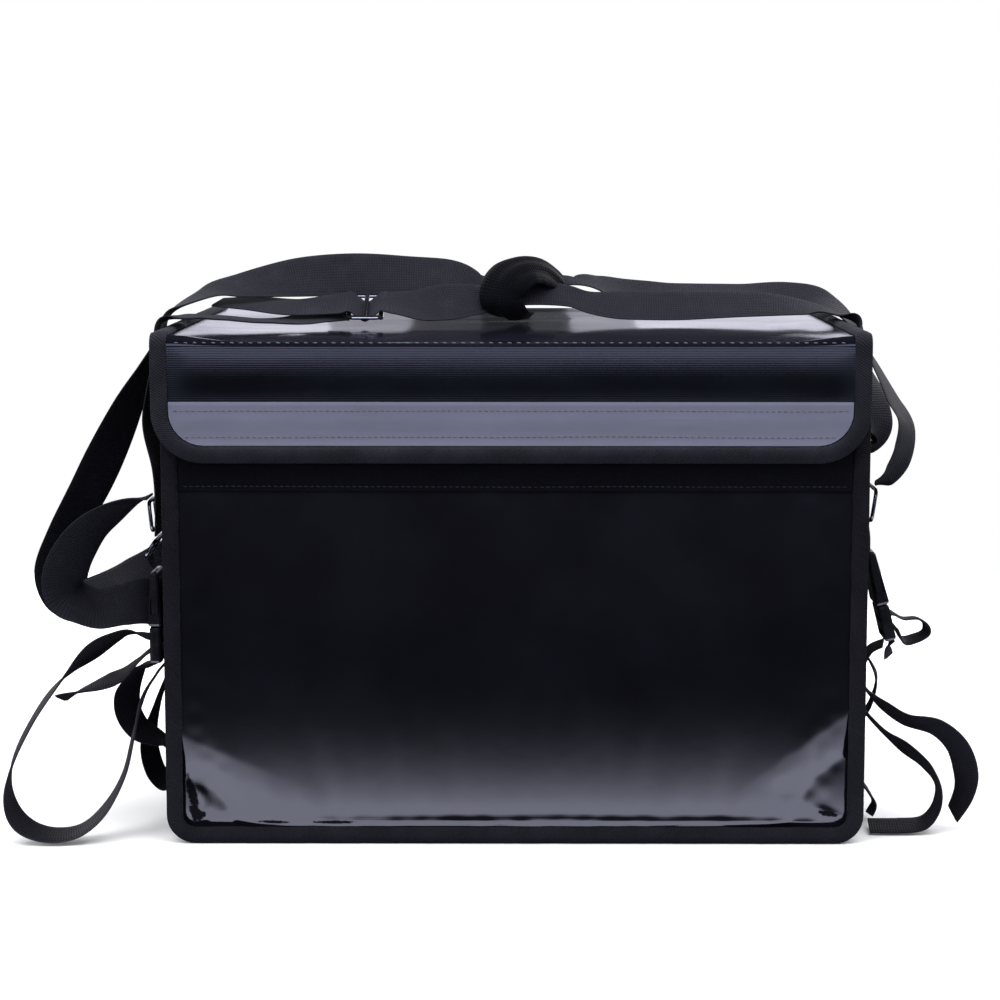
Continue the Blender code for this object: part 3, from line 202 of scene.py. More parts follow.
NARROW_STRAPS = {
    "left_anchor_tape": (
        ("left wall", (HARDWARE_LINE, .43), (HARDWARE_LINE, .51)),
        ("left below", (.04, HARDWARE_LINE, -.122), (.068, HARDWARE_LINE, -.294)),
    ),
    "left_buckle_tape": (
        ("left below", (.143, HARDWARE_LINE, -.149), (.128, HARDWARE_LINE, -.073)),
        ("left buckle", (.05, -.022)),
    ),
    "left_hanging_loop": (
        ("left buckle", (0, SLOT_ABOVE), (.6, SLOT_ABOVE)),
        ("left below", (.235, -.793, .705, 0, .98, -.2), (.335, -.813, .716, 0, .9, -.43),
         (.507, -.827, .893, .3, .84, -.45)),
        ("left", (.73, -.853, .305, -.12, .99, 0), (.89, -.88, .23, -.2, .98, 0),
         (1, -.92, .15, -.15, .99, 0), (1.005, -.967, .085, .12, .98, .05),
         (.925, -.993, .038, .22, .95, .22), (.76, -1, .0165, .05, .97, .24),
         (.57, -.987, .023, -.05, .98, .18), (.42, -.96, .062, -.2, .98, .08),
         (.3, -.927, .13, -.2, .98, 0), (.241, -.893, .209, -.15, .99, 0)),
        ("left below", (.185, -.87, 1.382), (.11, -.82, 1.151)),
        ("left buckle", (-.4, FOOT)),
    ),
    "left_strap_tail": (
        ("left buckle", (0, SLOT_BELOW), (.6, SLOT_BELOW)),
        ("left below", (.23, -.805, 1.006, .05, .98, .1), (.359, -.853, 1.167, .1, .92, .36)),
        ("left", (.546, -.867, .3), (.66, -.88, .287, -.1, .91, -.4), (.7, -.88, .283, -.1, .91, -.4)),
    ),
    "left_short_loop": (
        ("left buckle", (.3, FOOT)),
        ("left below", (.225, -.753, 1.092, .2, .97, 0)),
        ("left", (.28, -.707, .308, .5, .85, 0), (.325, -.687, .27, .7, .7, 0),
         (.315, -.687, .232, .68, .7, .2), (.25, -.687, .199, .4, .8, .4), (.15, -.687, .182, 0, .92, .38),
         (.07, -.687, .168)),
        ("left wall", (-.687, .13)),
    ),
    "left_low_loop": (
        ("left wall", (-.5, .36)),
        ("left", (.09, -.507, .306), (.17, -.507, .236, .1, .99, 0), (.23, -.507, .16, .4, .91, 0),
         (.2, -.507, .098, .35, .89, .3), (.13, -.507, .07, 0, .88, .48), (.07, -.507, .092, 0, .98, .2)),
        ("left wall", (-.507, .13)),
    ),
    "right_anchor_tape": (
        ("right wall", (RING_LINE, .5), (RING_LINE, .56)),
        ("right below", (.085, RING_LINE, -.129), (.12, RING_LINE, -.255)),
    ),
    "right_buckle_tape": (
        ("right wall", (HARDWARE_LINE, .72), (HARDWARE_LINE, .655)),
        ("right below", (.075, HARDWARE_LINE, -.155)),
        ("right buckle", (0, -.012)),
    ),
    "right_bow": (
        ("right buckle", (0, SLOT_ABOVE), (.6, SLOT_ABOVE)),
        ("right below", (.4, -.773, .763, 0, .98, -.1), (.52, -.767, .768, 0, .98, -.1),
         (.598, -.767, .833, -.08, 1, 0), (.6, -.767, .924, -.08, 1, 0), (.52, -.767, .983, 0, .98, .1),
         (.4, -.773, 1.005, 0, .98, .1)),
        ("right buckle", (.6, SLOT_BELOW), (0, SLOT_BELOW)),
    ),
    "right_strap_end": (
        ("right buckle", (.3, 1.034, .1, 1, 0)),
        ("right below", (.27, -.79, 1.08, .3, .95, 0), (.275, -.79, 1.176, .4, .92, 0)),
    ),
    "right_lower_tape": (
        ("right buckle", (-.44, FOOT)),
        ("right below", (.12, -.773, 1.112)),
        ("right wall", (-.767, .345), (-.767, .328)),
    ),
    "right_bulging_tape": (
        ("right wall", (-.51, .375)),
        ("right", (.175, -.51, .335), (.26, -.51, .29, .15, .99, 0), (.21, -.51, .236, .1, .99, 0),
         (.11, -.51, .2)),
        ("right wall", (-.51, .165)),
    ),
    "right_upper_tail": (
        ("right wall", (-.745, .31)),
        ("right", (.11, -.74, .288, 0, 1, -.1), (.262, -.747, .256, -.1, .92, -.38),
         (.45, -.76, .228, -.05, .86, -.5), (.707, -.773, .214, -.15, .76, -.6),
         (.885, -.787, .178, -.5, .74, -.4), (.965, -.787, .127, -.67, .74, 0),
         (.96, -.773, .079, -.45, .88, .1), (.88, -.747, .03, -.2, .97, .1)),
    ),
    "right_lower_tail": (
        ("right wall", (-.667, .262)),
        ("right", (.11, -.667, .238, 0, 1, -.1), (.27, -.693, .198, -.05, .96, -.2),
         (.455, -.72, .166, -.16, .9, -.38), (.635, -.747, .132, -.2, .96, -.18),
         (.735, -.773, .093, -.05, 1, 0), (.715, -.793, .05, -.05, 1, .05),
         (.6, -.807, .0195, 0, .98, .18), (.396, -.813, .0135, 0, .97, .22),
         (.13, -.807, .013, 0, .97, .2)),
    ),
    "right_floor_loop": (
        ("right wall", (-.6, .13)),
        ("right", (.1, -.6, .088), (.175, -.607, .062), (.226, -.62, .037), (.185, -.627, .014)),
    ),
}

OVER_AND_UNDER = ((-1.7, 0.6), (-1.0, 1.0), (-0.52, 0.0), (0.0, -1.0), (0.52, 0.0), (1.0, 1.0), (1.7, 0.6))
UNDER_FIRST_BAR = ((-2.2, -1.1), (-1.5, -0.85), (-0.95, -0.75))

# The knot's turn of webbing: up the front at the left, over the top and down behind at the right
KNOT_TURN = (
    (0.0040, -0.0060, 0.0035, -1.0, 0.30, 0.00),
    (-0.0020, -0.0190, 0.0045, -1.0, 0.20, 0.02),
    (-0.0085, -0.0275, 0.0120, -1.0, 0.08, 0.06),
    (-0.0085, -0.0275, 0.022, -0.93, 0.25, 0.30),
    (-0.0030, -0.0240, 0.0315, -0.60, 0.60, 0.55),
    (0.0070, -0.0180, 0.0365, -0.20, 0.85, 0.52),
    (0.0180, -0.0110, 0.0355, 0.05, 0.90, 0.46),
    (0.0275, -0.0030, 0.0290, 0.20, 0.95, 0.34),
    (0.0325, 0.0050, 0.0215, 0.25, 1.00, 0.20),
    (0.0330, 0.0090, 0.0150, 0.20, 1.00, 0.10),
)

# Small folds of the front's film that lie in shade: middle, half width and height, and lean
SHADED_CREASES = (
    (-0.2013, 0.0300, 0.0030, 0.0135, -0.22),
    (-0.1990, 0.0180, 0.0040, 0.0075, -0.30),
    (-0.1955, 0.0172, 0.0036, 0.0020, 0.60),
    (-0.1500, 0.0134, 0.0100, 0.0010, 0.0),
    (-0.1124, 0.0136, 0.0130, 0.0011, 0.0),
    (0.1950, 0.0183, 0.0062, 0.0022, -1.2),
)

# Panels that only reflections see: size, place, colour and strength
GLOWS = {
    "back_glow_left": ((1.40, 0.42), (-0.97, 2.0, 0.49), PALE, 1.1),
    "back_glow_right": ((1.56, 0.42), (0.96, 2.0, 0.49), PALE, 1.15),
    "back_glow_left_end": ((0.12, 0.36), (-0.21, 2.0, 0.48), PALE, 0.50),
    "back_glow_left_tip": ((0.10, 0.20), (-0.10, 2.0, 0.44), PALE, 0.10),
    "back_glow_right_end": ((0.10, 0.36), (0.13, 2.0, 0.48), PALE, 0.55),
    "back_glow_right_tip": ((0.06, 0.24), (0.05, 2.0, 0.44), PALE, 0.10),
    "back_glow_low": ((0.60, 0.05), (0.0, 2.0, 0.32), (0.80, 0.80, 1.0), 0.5),
    "front_glow": ((3.6, 1.1), (0, -3.0, 0.98), (0.66, 0.74, 1.10), 2.6),
}

# Lamps: place, height aimed at, size, watts, and whether reflections see them
SOFTBOXES = {
    "overhead": ((0.0, -0.2, 2.3), 0, 3.6, 150, False),
    "rear_left": ((-2.3, 2.3, 1.5), 0.2, 1.6, 42, True),
    "rear_right": ((2.0, 2.6, 1.4), 0.2, 1.6, 34, True),
    "front_left": ((-1.7, -1.9, 1.5), 0.2, 1.2, 20, False),
    "front_right": ((1.9, -1.7, 1.3), 0.2, 1.2, 12, False),
}


def clamp(value):
    return min(max(value, 0.0), 1.0)


def ease(share):
    return share * share * (3 - 2 * share)


def hill(distance, reach):
    return math.exp(-((distance / reach) ** 2))


def ripple(x, y, z):
    return noise.noise(Vector((x, y, z)))


def even(first, last, count):
    return [first + (last - first) * i / count for i in range(count + 1)]


def lengths_along(path):
    """How far along a path each of its points is."""
    made = [0.0]
    for first, second in zip(path, path[1:]):
        made.append(made[-1] + math.dist(first, second))
    return made


def smooth_rows(rows, steps):
    """Values between rows on a smooth curve that passes through each row."""
    made = []
    last = len(rows) - 1
    for i in range(last):
        near = rows[max(i - 1, 0)], rows[i], rows[i + 1], rows[min(i + 2, last)]
        for t in (step / steps for step in range(steps)):
            row = []
            for a, b, c, d in zip(*near):
                square, cube = 2 * a - 5 * b + 4 * c - d, 3 * b - a - 3 * c + d
                row.append(0.5 * (2 * b + (c - a) * t + square * t**2 + cube * t**3))
            made.append(row)
    return made + [list(rows[-1])]


def rise(distance):
    """How far a padded face has swelled, from 0 at its binding to 1 further in."""
    return ease(clamp((distance - BINDING_COVER) / BULGE_RISE))


def body_half_width(z):
    """Half of the front panel's width at a height, narrower where its bottom corners are round."""
    above = z - BASE_SEAM
    if above >= BOTTOM_RADIUS:
        return HALF_WIDTH
    return HALF_WIDTH - BOTTOM_RADIUS + math.sqrt(max(BOTTOM_RADIUS**2 - (BOTTOM_RADIUS - above) ** 2, 0.0))


def at_side(side, out, deep, up):
    """A place beside the bag, in shares of that side's reach, the half depth and the height."""
    reach = LEFT_REACH if side < 0 else RIGHT_REACH
    return (side * (HALF_WIDTH + out * reach), deep * HALF_DEPTH, up * BODY_HEIGHT)


def on_lid(side, across, deep, lift):
    """A place over the lid, in shares of the half width, the half depth and a strap's width."""
    return (across * HALF_WIDTH, deep * HALF_DEPTH, LID_TOP + lift * STRAP_WIDTH)


def on_wall(side, deep, up):
    """A place where webbing lies flat against the bag's side."""
    y = deep * HALF_DEPTH
    swell = rise(HALF_DEPTH - abs(abs(y) - NARROW_WIDTH / 2))
    return (side * (HALF_WIDTH + SIDE_BULGE * swell + FIT + WEB / 2 + FIT), y, up * BODY_HEIGHT)


def buckle_frame(side):
    """The middle of a buckle's top, the way out of its face, and the way down along it."""
    stand, up, lean = BUCKLES[side]
    tilt = math.radians(lean)
    place = Vector((side * (HALF_WIDTH + stand), HARDWARE_LINE * HALF_DEPTH, up * BODY_HEIGHT))
    out = Vector((side * math.cos(tilt), 0, math.sin(tilt)))
    return place, out, Vector((side * math.sin(tilt), 0, -math.cos(tilt)))


def on_buckle(side, out, along):
    """A place at a buckle, in shares of its thickness from its middle and of its length from its top."""
    place, face, down = buckle_frame(side)
    return tuple(place + face * out * BUCKLE_THICK + down * along * BUCKLE_LENGTH)


def below_buckle(side, out, deep, along):
    """A place beside the bag whose height is measured down from a buckle's top, in buckle lengths."""
    x, y, _ = at_side(side, out, deep, 0.0)
    return (x, y, buckle_frame(side)[0].z - along * BUCKLE_LENGTH)


PLACES = {"wall": on_wall, "buckle": on_buckle, "below": below_buckle, "lid": on_lid}


def placed(runs):
    """Rows of a route as places in metres, each with the way across the webbing."""
    made = []
    for kind, *rows in runs:
        place = PLACES.get(kind.split()[-1], at_side)
        shares = 2 if place in (on_wall, on_buckle) else 3
        side = -1 if kind.startswith("left") else 1
        made += [(place(side, *row[:shares]), row[shares:] or FLAT) for row in rows]
    return made


def slider_rows(ways):
    """Webbing at the slider: how far along it in bar spacings, and how far over or under it."""
    lean = math.radians(SLIDER_LEAN_BACK)
    across = tuple(Vector((0, math.cos(lean), math.sin(lean))))
    up = Vector((0, -math.sin(lean), math.cos(lean)))
    middle = Vector(on_lid(0, *SLIDER_PLACE))
    bar = (SLIDER_LENGTH - SLIDER_RIM) / 2
    weave = SLIDER_THICK / 2 + WEB / 2 + 4 * FIT
    return [(tuple(middle + Vector((along * bar, 0, 0)) + up * weave * way), across) for along, way in ways]


def lid_edges(y):
    """The lid's left and right edges at a depth: the left one flares towards the flap."""
    share = clamp((HALF_DEPTH - y) / BODY_DEPTH)
    return -(HALF_WIDTH + LID_LEFT * (0.4 + 0.6 * share)), HALF_WIDTH + LID_RIGHT


def lid_line(length):
    """The lid's outer face at a length along its profile: 0 is at the fold's start, negative further back."""
    turned = clamp(length / FOLD_ARC) * math.pi / 2
    y = -(FLAP_FACE - FOLD_RADIUS) - FOLD_RADIUS * math.sin(turned) - min(length, 0.0)
    z = LID_TOP - FOLD_RADIUS * (1 - math.cos(turned)) - max(length - FOLD_ARC, 0.0)
    return (y, z), (0.0, -math.sin(turned), math.cos(turned))


def linked(made):
    bpy.context.scene.collection.objects.link(made)
    return made


class Value:
    """A number or colour that a material's nodes work out."""

    def __init__(self, look, socket):
        self.look, self.socket = look, socket

    def calc(self, operation, *others):
        made = self.look.node("ShaderNodeMath")
        made.operation = operation
        for value, socket in zip((self, *others), made.inputs):
            self.look.put(value, socket)
        return Value(self.look, made.outputs[0])

    def __add__(self, other):
        return self.calc("ADD", other)

    def __sub__(self, other):
        return self.calc("SUBTRACT", other)

    def __mul__(self, other):
        return self.calc("MULTIPLY", other)

    def __truediv__(self, other):
        return self.calc("DIVIDE", other)

    def ribs(self, pitch, sharp=1.0):
        """A row of rounded ribs, 0 in the grooves and 1 on the crests."""
        return (self * (2 * math.pi / pitch)).calc("SINE").calc("MULTIPLY_ADD", 0.5, 0.5).calc("POWER", sharp)

    def spread(self, *limits):
        """Map a range to another: its low and high end, and what they become."""
        made = self.look.node("ShaderNodeMapRange", Value=self)
        for key, item in zip(("From Min", "From Max", "To Min", "To Max"), limits):
            made.inputs[key].default_value = item
        return Value(self.look, made.outputs["Result"])

    def noise(self, scale, detail=3.0, stretch=None):
        vector = self
        if stretch:
            mapped = self.look.node("ShaderNodeMapping", Vector=self, Scale=stretch)
            vector = Value(self.look, mapped.outputs[0])
        made = self.look.node("ShaderNodeTexNoise", Vector=vector, Scale=scale, Detail=detail, Roughness=0.55)
        return Value(self.look, made.outputs["Fac"])


class Look:
    """A material: its plain values, and the pattern that its nodes add to them."""

    def __init__(self, name, slot, colour, roughness, **values):
        self.slot, self.colour = slot, colour
        self.material = bpy.data.materials.new(name)
        self.material.use_nodes = True
        self.tree = self.material.node_tree
        self.shader = self.tree.nodes["Principled BSDF"]
        self.bumps = None
        self.set(Base_Color=colour, Roughness=roughness, **values)
        self.place = Value(self, self.node("ShaderNodeTexCoord").outputs["Object"])

    def weave_place(self):
        """Metres along and across the cloth, from the piece's own map."""
        made = self.node("ShaderNodeUVMap")
        made.uv_map = "cloth"
        cloth = Value(self, made.outputs[0])
        return cloth, *self.parts(cloth)[:2]

    def node(self, kind, **inputs):
        made = self.tree.nodes.new(kind)
        for key, value in inputs.items():
            self.put(value, made.inputs[key.replace("_", " ")])
        return made

    def put(self, value, socket):
        if isinstance(value, Value):
            self.tree.links.new(value.socket, socket)
        else:
            socket.default_value = (*value, 1.0) if socket.type == "RGBA" else value

    def set(self, **values):
        for key, value in values.items():
            self.put(value, self.shader.inputs[key.replace("_", " ")])

    def parts(self, vector):
        return [Value(self, part) for part in self.node("ShaderNodeSeparateXYZ", Vector=vector).outputs]

    def shade(self, factor):
        return tuple(c * factor for c in self.colour)

    def mix(self, share, first, second):
        """Between two colours, each a colour or a share of the look's own."""
        made = self.node("ShaderNodeMix")
        made.data_type = "RGBA"
        self.put(share, made.inputs["Factor"])
        for key, value in (("A", first), ("B", second)):
            self.put(self.shade(value) if isinstance(value, float) else value, made.inputs[key])
        return Value(self, made.outputs["Result"])

    def bump(self, height, depth):
        made = self.node("ShaderNodeBump", Height=height, Strength=1.0, Distance=depth)
        if self.bumps:
            self.tree.links.new(self.bumps, made.inputs["Normal"])
        self.bumps = made.outputs[0]
        self.tree.links.new(self.bumps, self.shader.inputs["Normal"])


def coated_look(name, slot, colour, roughness, scrim, waves=0.00012):
    """Fabric under a smooth coating: the scrim inside it shows as a faint grid."""
    look = Look(name, slot, colour, roughness)
    _, along, across = look.weave_place()
    grid = along.ribs(0.00135, 3.0) + across.ribs(0.00135, 3.0)
    cloudy = look.place.noise(14.0, 4.0)
    dust = look.place.noise(900.0, 2.0)
    tint = look.mix(grid * 0.35, 1.0, 1.9)
    made = look.node("ShaderNodeHueSaturation", Color=tint, Value=cloudy.spread(0.3, 0.7, 0.75, 1.25))
    rough = cloudy.spread(0.3, 0.7, -0.03, 0.04) + dust.spread(0.4, 0.8, 0.0, 0.05) + roughness
    look.set(Base_Color=Value(look, made.outputs[0]), Roughness=rough)
    look.bump(grid, scrim)
    look.bump(look.place.noise(38.0, 2.0), waves)
    return look


def shaded_creases(look):
    """Turn the film's shine off in its small shaded folds."""
    across, _, height = look.parts(look.place)
    ragged = look.place.noise(420.0).spread(0.3, 0.7, -0.45, 0.45)
    total = None
    for x, z, wide, tall, lean in SHADED_CREASES:
        up = height - z
        far = ((across - x - up * lean) / wide).calc("POWER", 2.0) + (up / tall).calc("POWER", 2.0)
        here = (far + ragged).spread(0.65, 1.15, 1.0, 0.0)
        total = here if total is None else total.calc("MAXIMUM", here)
    look.set(Specular_IOR_Level=total.spread(0.0, 1.0, 0.5, 0.01))


def sheen(weight, roughness, tint=(1.0, 1.0, 1.0)):
    return {"Sheen_Weight": weight, "Sheen_Roughness": roughness, "Sheen_Tint": tint}


def webbing_look(name, colour, width):
    """Ribbed webbing: fine ribs across it, warp lines along it, and a tighter woven edge with a painted
    highlight.
    """
    look = Look(name, "webbing", colour, 0.72, Specular_IOR_Level=0.2, **sheen(0.04, 0.45, (0.75, 0.75, 0.9)))
    cloth, along, across = look.weave_place()
    weave = along.ribs(0.0016, 1.2) * 0.7 + across.ribs(0.0021, 0.8) * 0.5 + cloth.noise(2600.0, 2.0) * 0.35
    edge = across.calc("ABSOLUTE").spread(width / 2 - 0.0022, width / 2 - 0.0012, 0.0, 1.0)
    worn = look.place.noise(60.0, 4.0).spread(0.5, 0.75, 0.0, 1.0)
    faded = look.mix(worn * 0.22, look.mix(weave * 0.6, 0.55, 1.55), 2.6)
    # Its edges are painted lighter: a tighter woven selvedge with a painted highlight along it.
    look.set(Base_Color=look.mix(edge * 0.3, faded, 1.9), Roughness=weave.spread(0.2, 1.3, 0.85, 0.6))
    look.bump(weave, 0.00022)
    look.bump(look.place.noise(130.0), 0.0004)
    return look


def tape_look(name, colour):
    """Woven binding tape: a slanting twill, slightly fuzzy."""
    fuzzy = sheen(0.03, 0.5, (0.8, 0.8, 0.9))
    look = Look(name, "binding_tape", colour, 0.85, Specular_IOR_Level=0.12, **fuzzy)
    cloth, along, across = look.weave_place()
    fuzz = cloth.noise(3000.0)
    weave = (along + across * 0.62).ribs(0.0017, 1.1) * 0.8 + across.ribs(0.0008) * 0.25 + fuzz * 0.5
    patchy = look.place.noise(45.0, 4.0)
    lit = look.mix(weave * 0.6, 0.6, 1.7)
    look.set(Base_Color=look.mix(patchy.spread(0.4, 0.7, 0.0, 0.42), lit, 2.8))
    look.set(Roughness=fuzz.spread(0.3, 0.7, 0.92, 0.7))
    look.bump(weave, 0.0004)
    look.bump(patchy, 0.0009)
    return look


def cloth_look(name, slot, colour):
    """Plain matte woven cloth."""
    look = Look(name, slot, colour, 0.9, Specular_IOR_Level=0.12, **sheen(0.02, 0.5))
    cloth, along, across = look.weave_place()
    slub = cloth.noise(500.0, stretch=(1.0, 6.0, 1.0))
    weave = along.ribs(0.0009) * across.ribs(0.0009) + slub * 0.6
    patchy = look.place.noise(20.0, 4.0).spread(0.4, 0.8, 0.0, 0.35)
    look.set(Base_Color=look.mix(patchy, look.mix(weave * 0.6, 0.7, 1.5), 2.0))
    look.set(Roughness=slub.spread(0.3, 0.7, 0.95, 0.78))
    look.bump(weave, 0.00015)
    return look


def reflective_look(name, colour):
    """Tape with tiny glass beads under a clear film."""
    look = Look(name, "reflective_tape", colour, 0.38, Metallic=0.25, Coat_Weight=0.35, Coat_Roughness=0.22)
    cloth, _, across = look.weave_place()
    beads = Value(look, look.node("ShaderNodeTexVoronoi", Vector=cloth, Scale=2600.0).outputs["Distance"])
    streak = cloth.noise(60.0, 4.0, stretch=(0.25, 4.0, 1.0))
    low = LID_TOP - FLAP_DROP + BINDING_COVER
    high = low + STRIP_HEIGHT
    lit = look.mix(beads.spread(0.0, 0.6, 0.0, 0.3), 1.0, 0.75)
    # Painted light: its lower half is painted brighter and its top edge has a painted highlight.
    for share, factor in (
        (look.place.noise(18.0).spread(0.35, 0.7, 0.0, 0.35), 1.25),
        (across.spread(low, low + STRIP_HEIGHT * 0.5, 0.6, 0.0), 1.5),
        (across.spread(high - 0.002, high - 0.0005, 0.0, 0.7), 1.45),
        (streak.spread(0.55, 0.8, 0.0, 0.3), 0.7),
    ):
        lit = look.mix(share, lit, factor)
    look.set(Base_Color=lit, Roughness=streak.spread(0.3, 0.7, 0.32, 0.46))
    look.bump(beads, 0.00003)
    look.bump(look.place.noise(50.0, 2.0), 0.0003)
    return look


def hard_look(name, colour, roughness, metallic, edge_glint):
    """Moulded or plated fittings, finely marked, with painted glints that brighten their edges."""
    look = Look(name, name, colour, roughness, Metallic=metallic)
    # Edges found by their sharpness are painted brighter: painted glints.
    edges = Value(look, look.node("ShaderNodeNewGeometry").outputs["Pointiness"])
    bright = tuple(min(c * 2.5 + 0.01, 1.0) for c in colour)
    smears = look.place.noise(120.0).spread(0.3, 0.7, roughness * 0.75, roughness * 1.4)
    look.set(Base_Color=look.mix(edges.spread(0.52, 0.58, 0.0, edge_glint), colour, bright), Roughness=smears)
    look.bump(look.place.noise(700.0, 4.0), 0.00002)
    return look


def thread_look(name, slot, colour):
    look = Look(name, slot, colour, 0.6)
    twist = look.place.noise(1500.0, 2.0)
    look.set(Base_Color=look.mix(twist.spread(0.35, 0.7, 0.0, 1.0), 0.6, 1.0))
    look.bump(twist, 0.00005)
    return look


def finished(name, points, faces, uvs, look, replaces=(), angle=50):
    """A piece from points, faces and one map place for each corner of each face."""
    mesh = bpy.data.meshes.new(name)
    mesh.from_pydata(points, [], faces)
    layer = mesh.uv_layers.new(name="cloth")
    layer.data.foreach_set("uv", [value for uv in uvs for value in uv])
    mesh.materials.append(look.material)
    mesh.validate()
    mesh.shade_smooth()
    mesh.set_sharp_from_angle(angle=math.radians(angle))
    made = linked(bpy.data.objects.new(name, mesh))
    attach(made, "root")
    if replaces:
        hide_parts(*replaces)
    shape = bmesh.new()
    shape.from_mesh(mesh)
    bmesh.ops.recalc_face_normals(shape, faces=shape.faces)
    shape.to_mesh(mesh)
    shape.free()
    return made


def tube(name, rings, along, around, look, replaces=(), closed=False):
    """A closed form through rings of as many points, with map places along the rings and around each."""
    count, total = len(rings[0]), len(rings)
    faces, uvs = [], []
    for i in range(total if closed else total - 1):
        k = (i + 1) % total
        for j in range(count):
            m = (j + 1) % count
            faces.append((i * count + j, k * count + j, k * count + m, i * count + m))
            uvs += [(along[i], around[j]), (along[i + 1], around[j])]
            uvs += [(along[i + 1], around[j + 1]), (along[i], around[j + 1])]
    if not closed:
        faces += [tuple(range(count)), tuple((total - 1) * count + j for j in reversed(range(count)))]
        uvs += [(along[0], around[0])] * 2 * count
    return finished(name, [point for ring in rings for point in ring], faces, uvs, look, replaces)


def quilt(name, outer, inner, flat, look, replaces=()):
    """A padded sheet from its outer and inner grid, and the grid's places on the flat cloth."""
    rows, columns = len(outer), len(outer[0])
    size = rows * columns
    faces = []
    for i in range(rows - 1):
        for j in range(columns - 1):
            a = i * columns + j
            faces.append((a, a + columns, a + columns + 1, a + 1))
            faces.append((size + a, size + a + 1, size + a + columns + 1, size + a + columns))
    rim = list(range(columns)) + [i * columns + columns - 1 for i in range(1, rows)]
    rim += [(rows - 1) * columns + j for j in range(columns - 2, -1, -1)]
    rim += [i * columns for i in range(rows - 2, 0, -1)]
    faces += [(a, b, size + b, size + a) for a, b in zip(rim, rim[1:] + rim[:1])]
    places = [place for row in flat for place in row]
    uvs = [places[corner % size] for face in faces for corner in face]
    points = [point for grid in (outer, inner) for row in grid for point in row]
    return finished(name, points, faces, uvs, look, replaces)


def gathered(place):
    """Share of its width that webbing keeps: less where it is squeezed in the knot."""
    away = abs(place.x - KNOT_ACROSS - KNOT_PITCH * 0.35) / KNOT_PITCH
    near = clamp(1.6 - away)
    return 1 - KNOT_GATHER * ease(near)


def strap(name, rows, width, look, gather=False, steps=10, columns=12, cup=0.0, widths=None, pleats=0.0):
    """Webbing with woven rounded edges, slightly wavy, along rows of (place, way across)."""
    made = smooth_rows([(*place, *across) for place, across in rows], steps)
    centres = [Vector(row[:3]) for row in made]
    along = lengths_along(centres)
    profile = [(a, 1.0 if abs(a) < 0.99 else 0.45) for a in even(-1.0, 1.0, columns)]
    profile += [(a, -b) for a, b in reversed(profile)]
    seed = Vector((len(name) * 1.7, ord(name[0]) * 0.3, ord(name[-1]) * 0.9))
    rings = []
    for i, (centre, length) in enumerate(zip(centres, along)):
        ahead = (centres[min(i + 1, len(centres) - 1)] - centres[max(i - 1, 0)]).normalized()
        across = Vector(made[i][3:])
        across = (across - ahead * across.dot(ahead)).normalized()
        up = ahead.cross(across).normalized()
        size = width / 2 * (gathered(centre) if gather else 1.0)
        bend = cup * size
        wave = 0.00035 * noise.noise(seed + Vector((length * 45, 0, 0)))
        if widths:
            size *= widths(length / along[-1])
        ring = []
        for a, b in profile:
            fold = pleats * math.sin(a * 8.5 + length * 30) * (0.5 + 0.5 * math.cos(a * 1.2))
            lift = b * (WEB / 2) + bend * (0.35 - a * a) + wave * a + fold
            ring.append(centre + across * a * size + up * lift)
        rings.append(ring)
    around = [a * width / 2 for a, _ in profile] + [profile[0][0] * width / 2]
    return tube(name + "_webbing", rings, along, around, look, (name,))


def stitches(name, path, look, pitch=STITCH + STITCH_GAP, length=STITCH, thick=THREAD):
    """Thread along a path of (place, way out of the cloth): short rounded stitches that dip at both ends."""
    places, ups = ([Vector(row[k]) for row in path] for k in (0, 1))
    lengths = lengths_along(places)

    def at(distance):
        low, high = 0, len(lengths) - 1
        while high - low > 1:
            i = (low + high) // 2
            low, high = (i, high) if lengths[i] <= distance else (low, i)
        share = (distance - lengths[low]) / max(lengths[high] - lengths[low], 1e-9)
        return places[low].lerp(places[high], share), ups[low].lerp(ups[high], share).normalized()

    points, faces = [], []
    start = pitch * 0.5
    number = 0
    while start + length < lengths[-1]:
        number += 1
        slip = ripple(number * 0.37, 0, 0) * 0.12
        first = len(points)
        ahead = (at(start + length)[0] - at(start)[0]).normalized()
        for share, lift, fat in STITCH_FORM:
            place, up = at(start + length * share)
            side = ahead.cross(up).normalized()
            middle = place + up * thick * lift + side * thick * (share - 0.5) * (0.5 + slip * 2)
            for turn in (2 * math.pi * k / THREAD_SIDES for k in range(THREAD_SIDES)):
                points.append(middle + (side * math.cos(turn) + up * math.sin(turn)) * thick * fat)
        last = len(points) - THREAD_SIDES
        for a in range(first, last, THREAD_SIDES):
            for k in range(THREAD_SIDES):
                m = (k + 1) % THREAD_SIDES
                faces.append((a + k, a + m, a + THREAD_SIDES + m, a + THREAD_SIDES + k))
        faces.append(tuple(first + k for k in reversed(range(THREAD_SIDES))))
        faces.append(tuple(last + k for k in range(THREAD_SIDES)))
        start += pitch
    return finished(name, points, faces, [(0.0, 0.0)] * sum(map(len, faces)), look, angle=60)


def edge_stations(top, fine):
    """Points and outward normals along the sewn edge: down the left, across the base, up the right."""
    low = BASE_SEAM + BOTTOM_RADIUS
    across = HALF_WIDTH - BOTTOM_RADIUS
    half = [((-HALF_WIDTH, z), (-1.0, 0.0)) for z in even(top, low, int((top - low) / fine))]
    for angle in even(0, 90, 10)[1:]:
        normal = (-math.cos(math.radians(angle)), -math.sin(math.radians(angle)))
        half.append(((-across + BOTTOM_RADIUS * normal[0], low + BOTTOM_RADIUS * normal[1]), normal))
    base = [((x, BASE_SEAM), (0.0, -1.0)) for x in even(-across, across, int(2 * across / fine))[1:-1]]
    return half + base + [((-x, z), (-nx, nz)) for (x, z), (nx, nz) in reversed(half)]


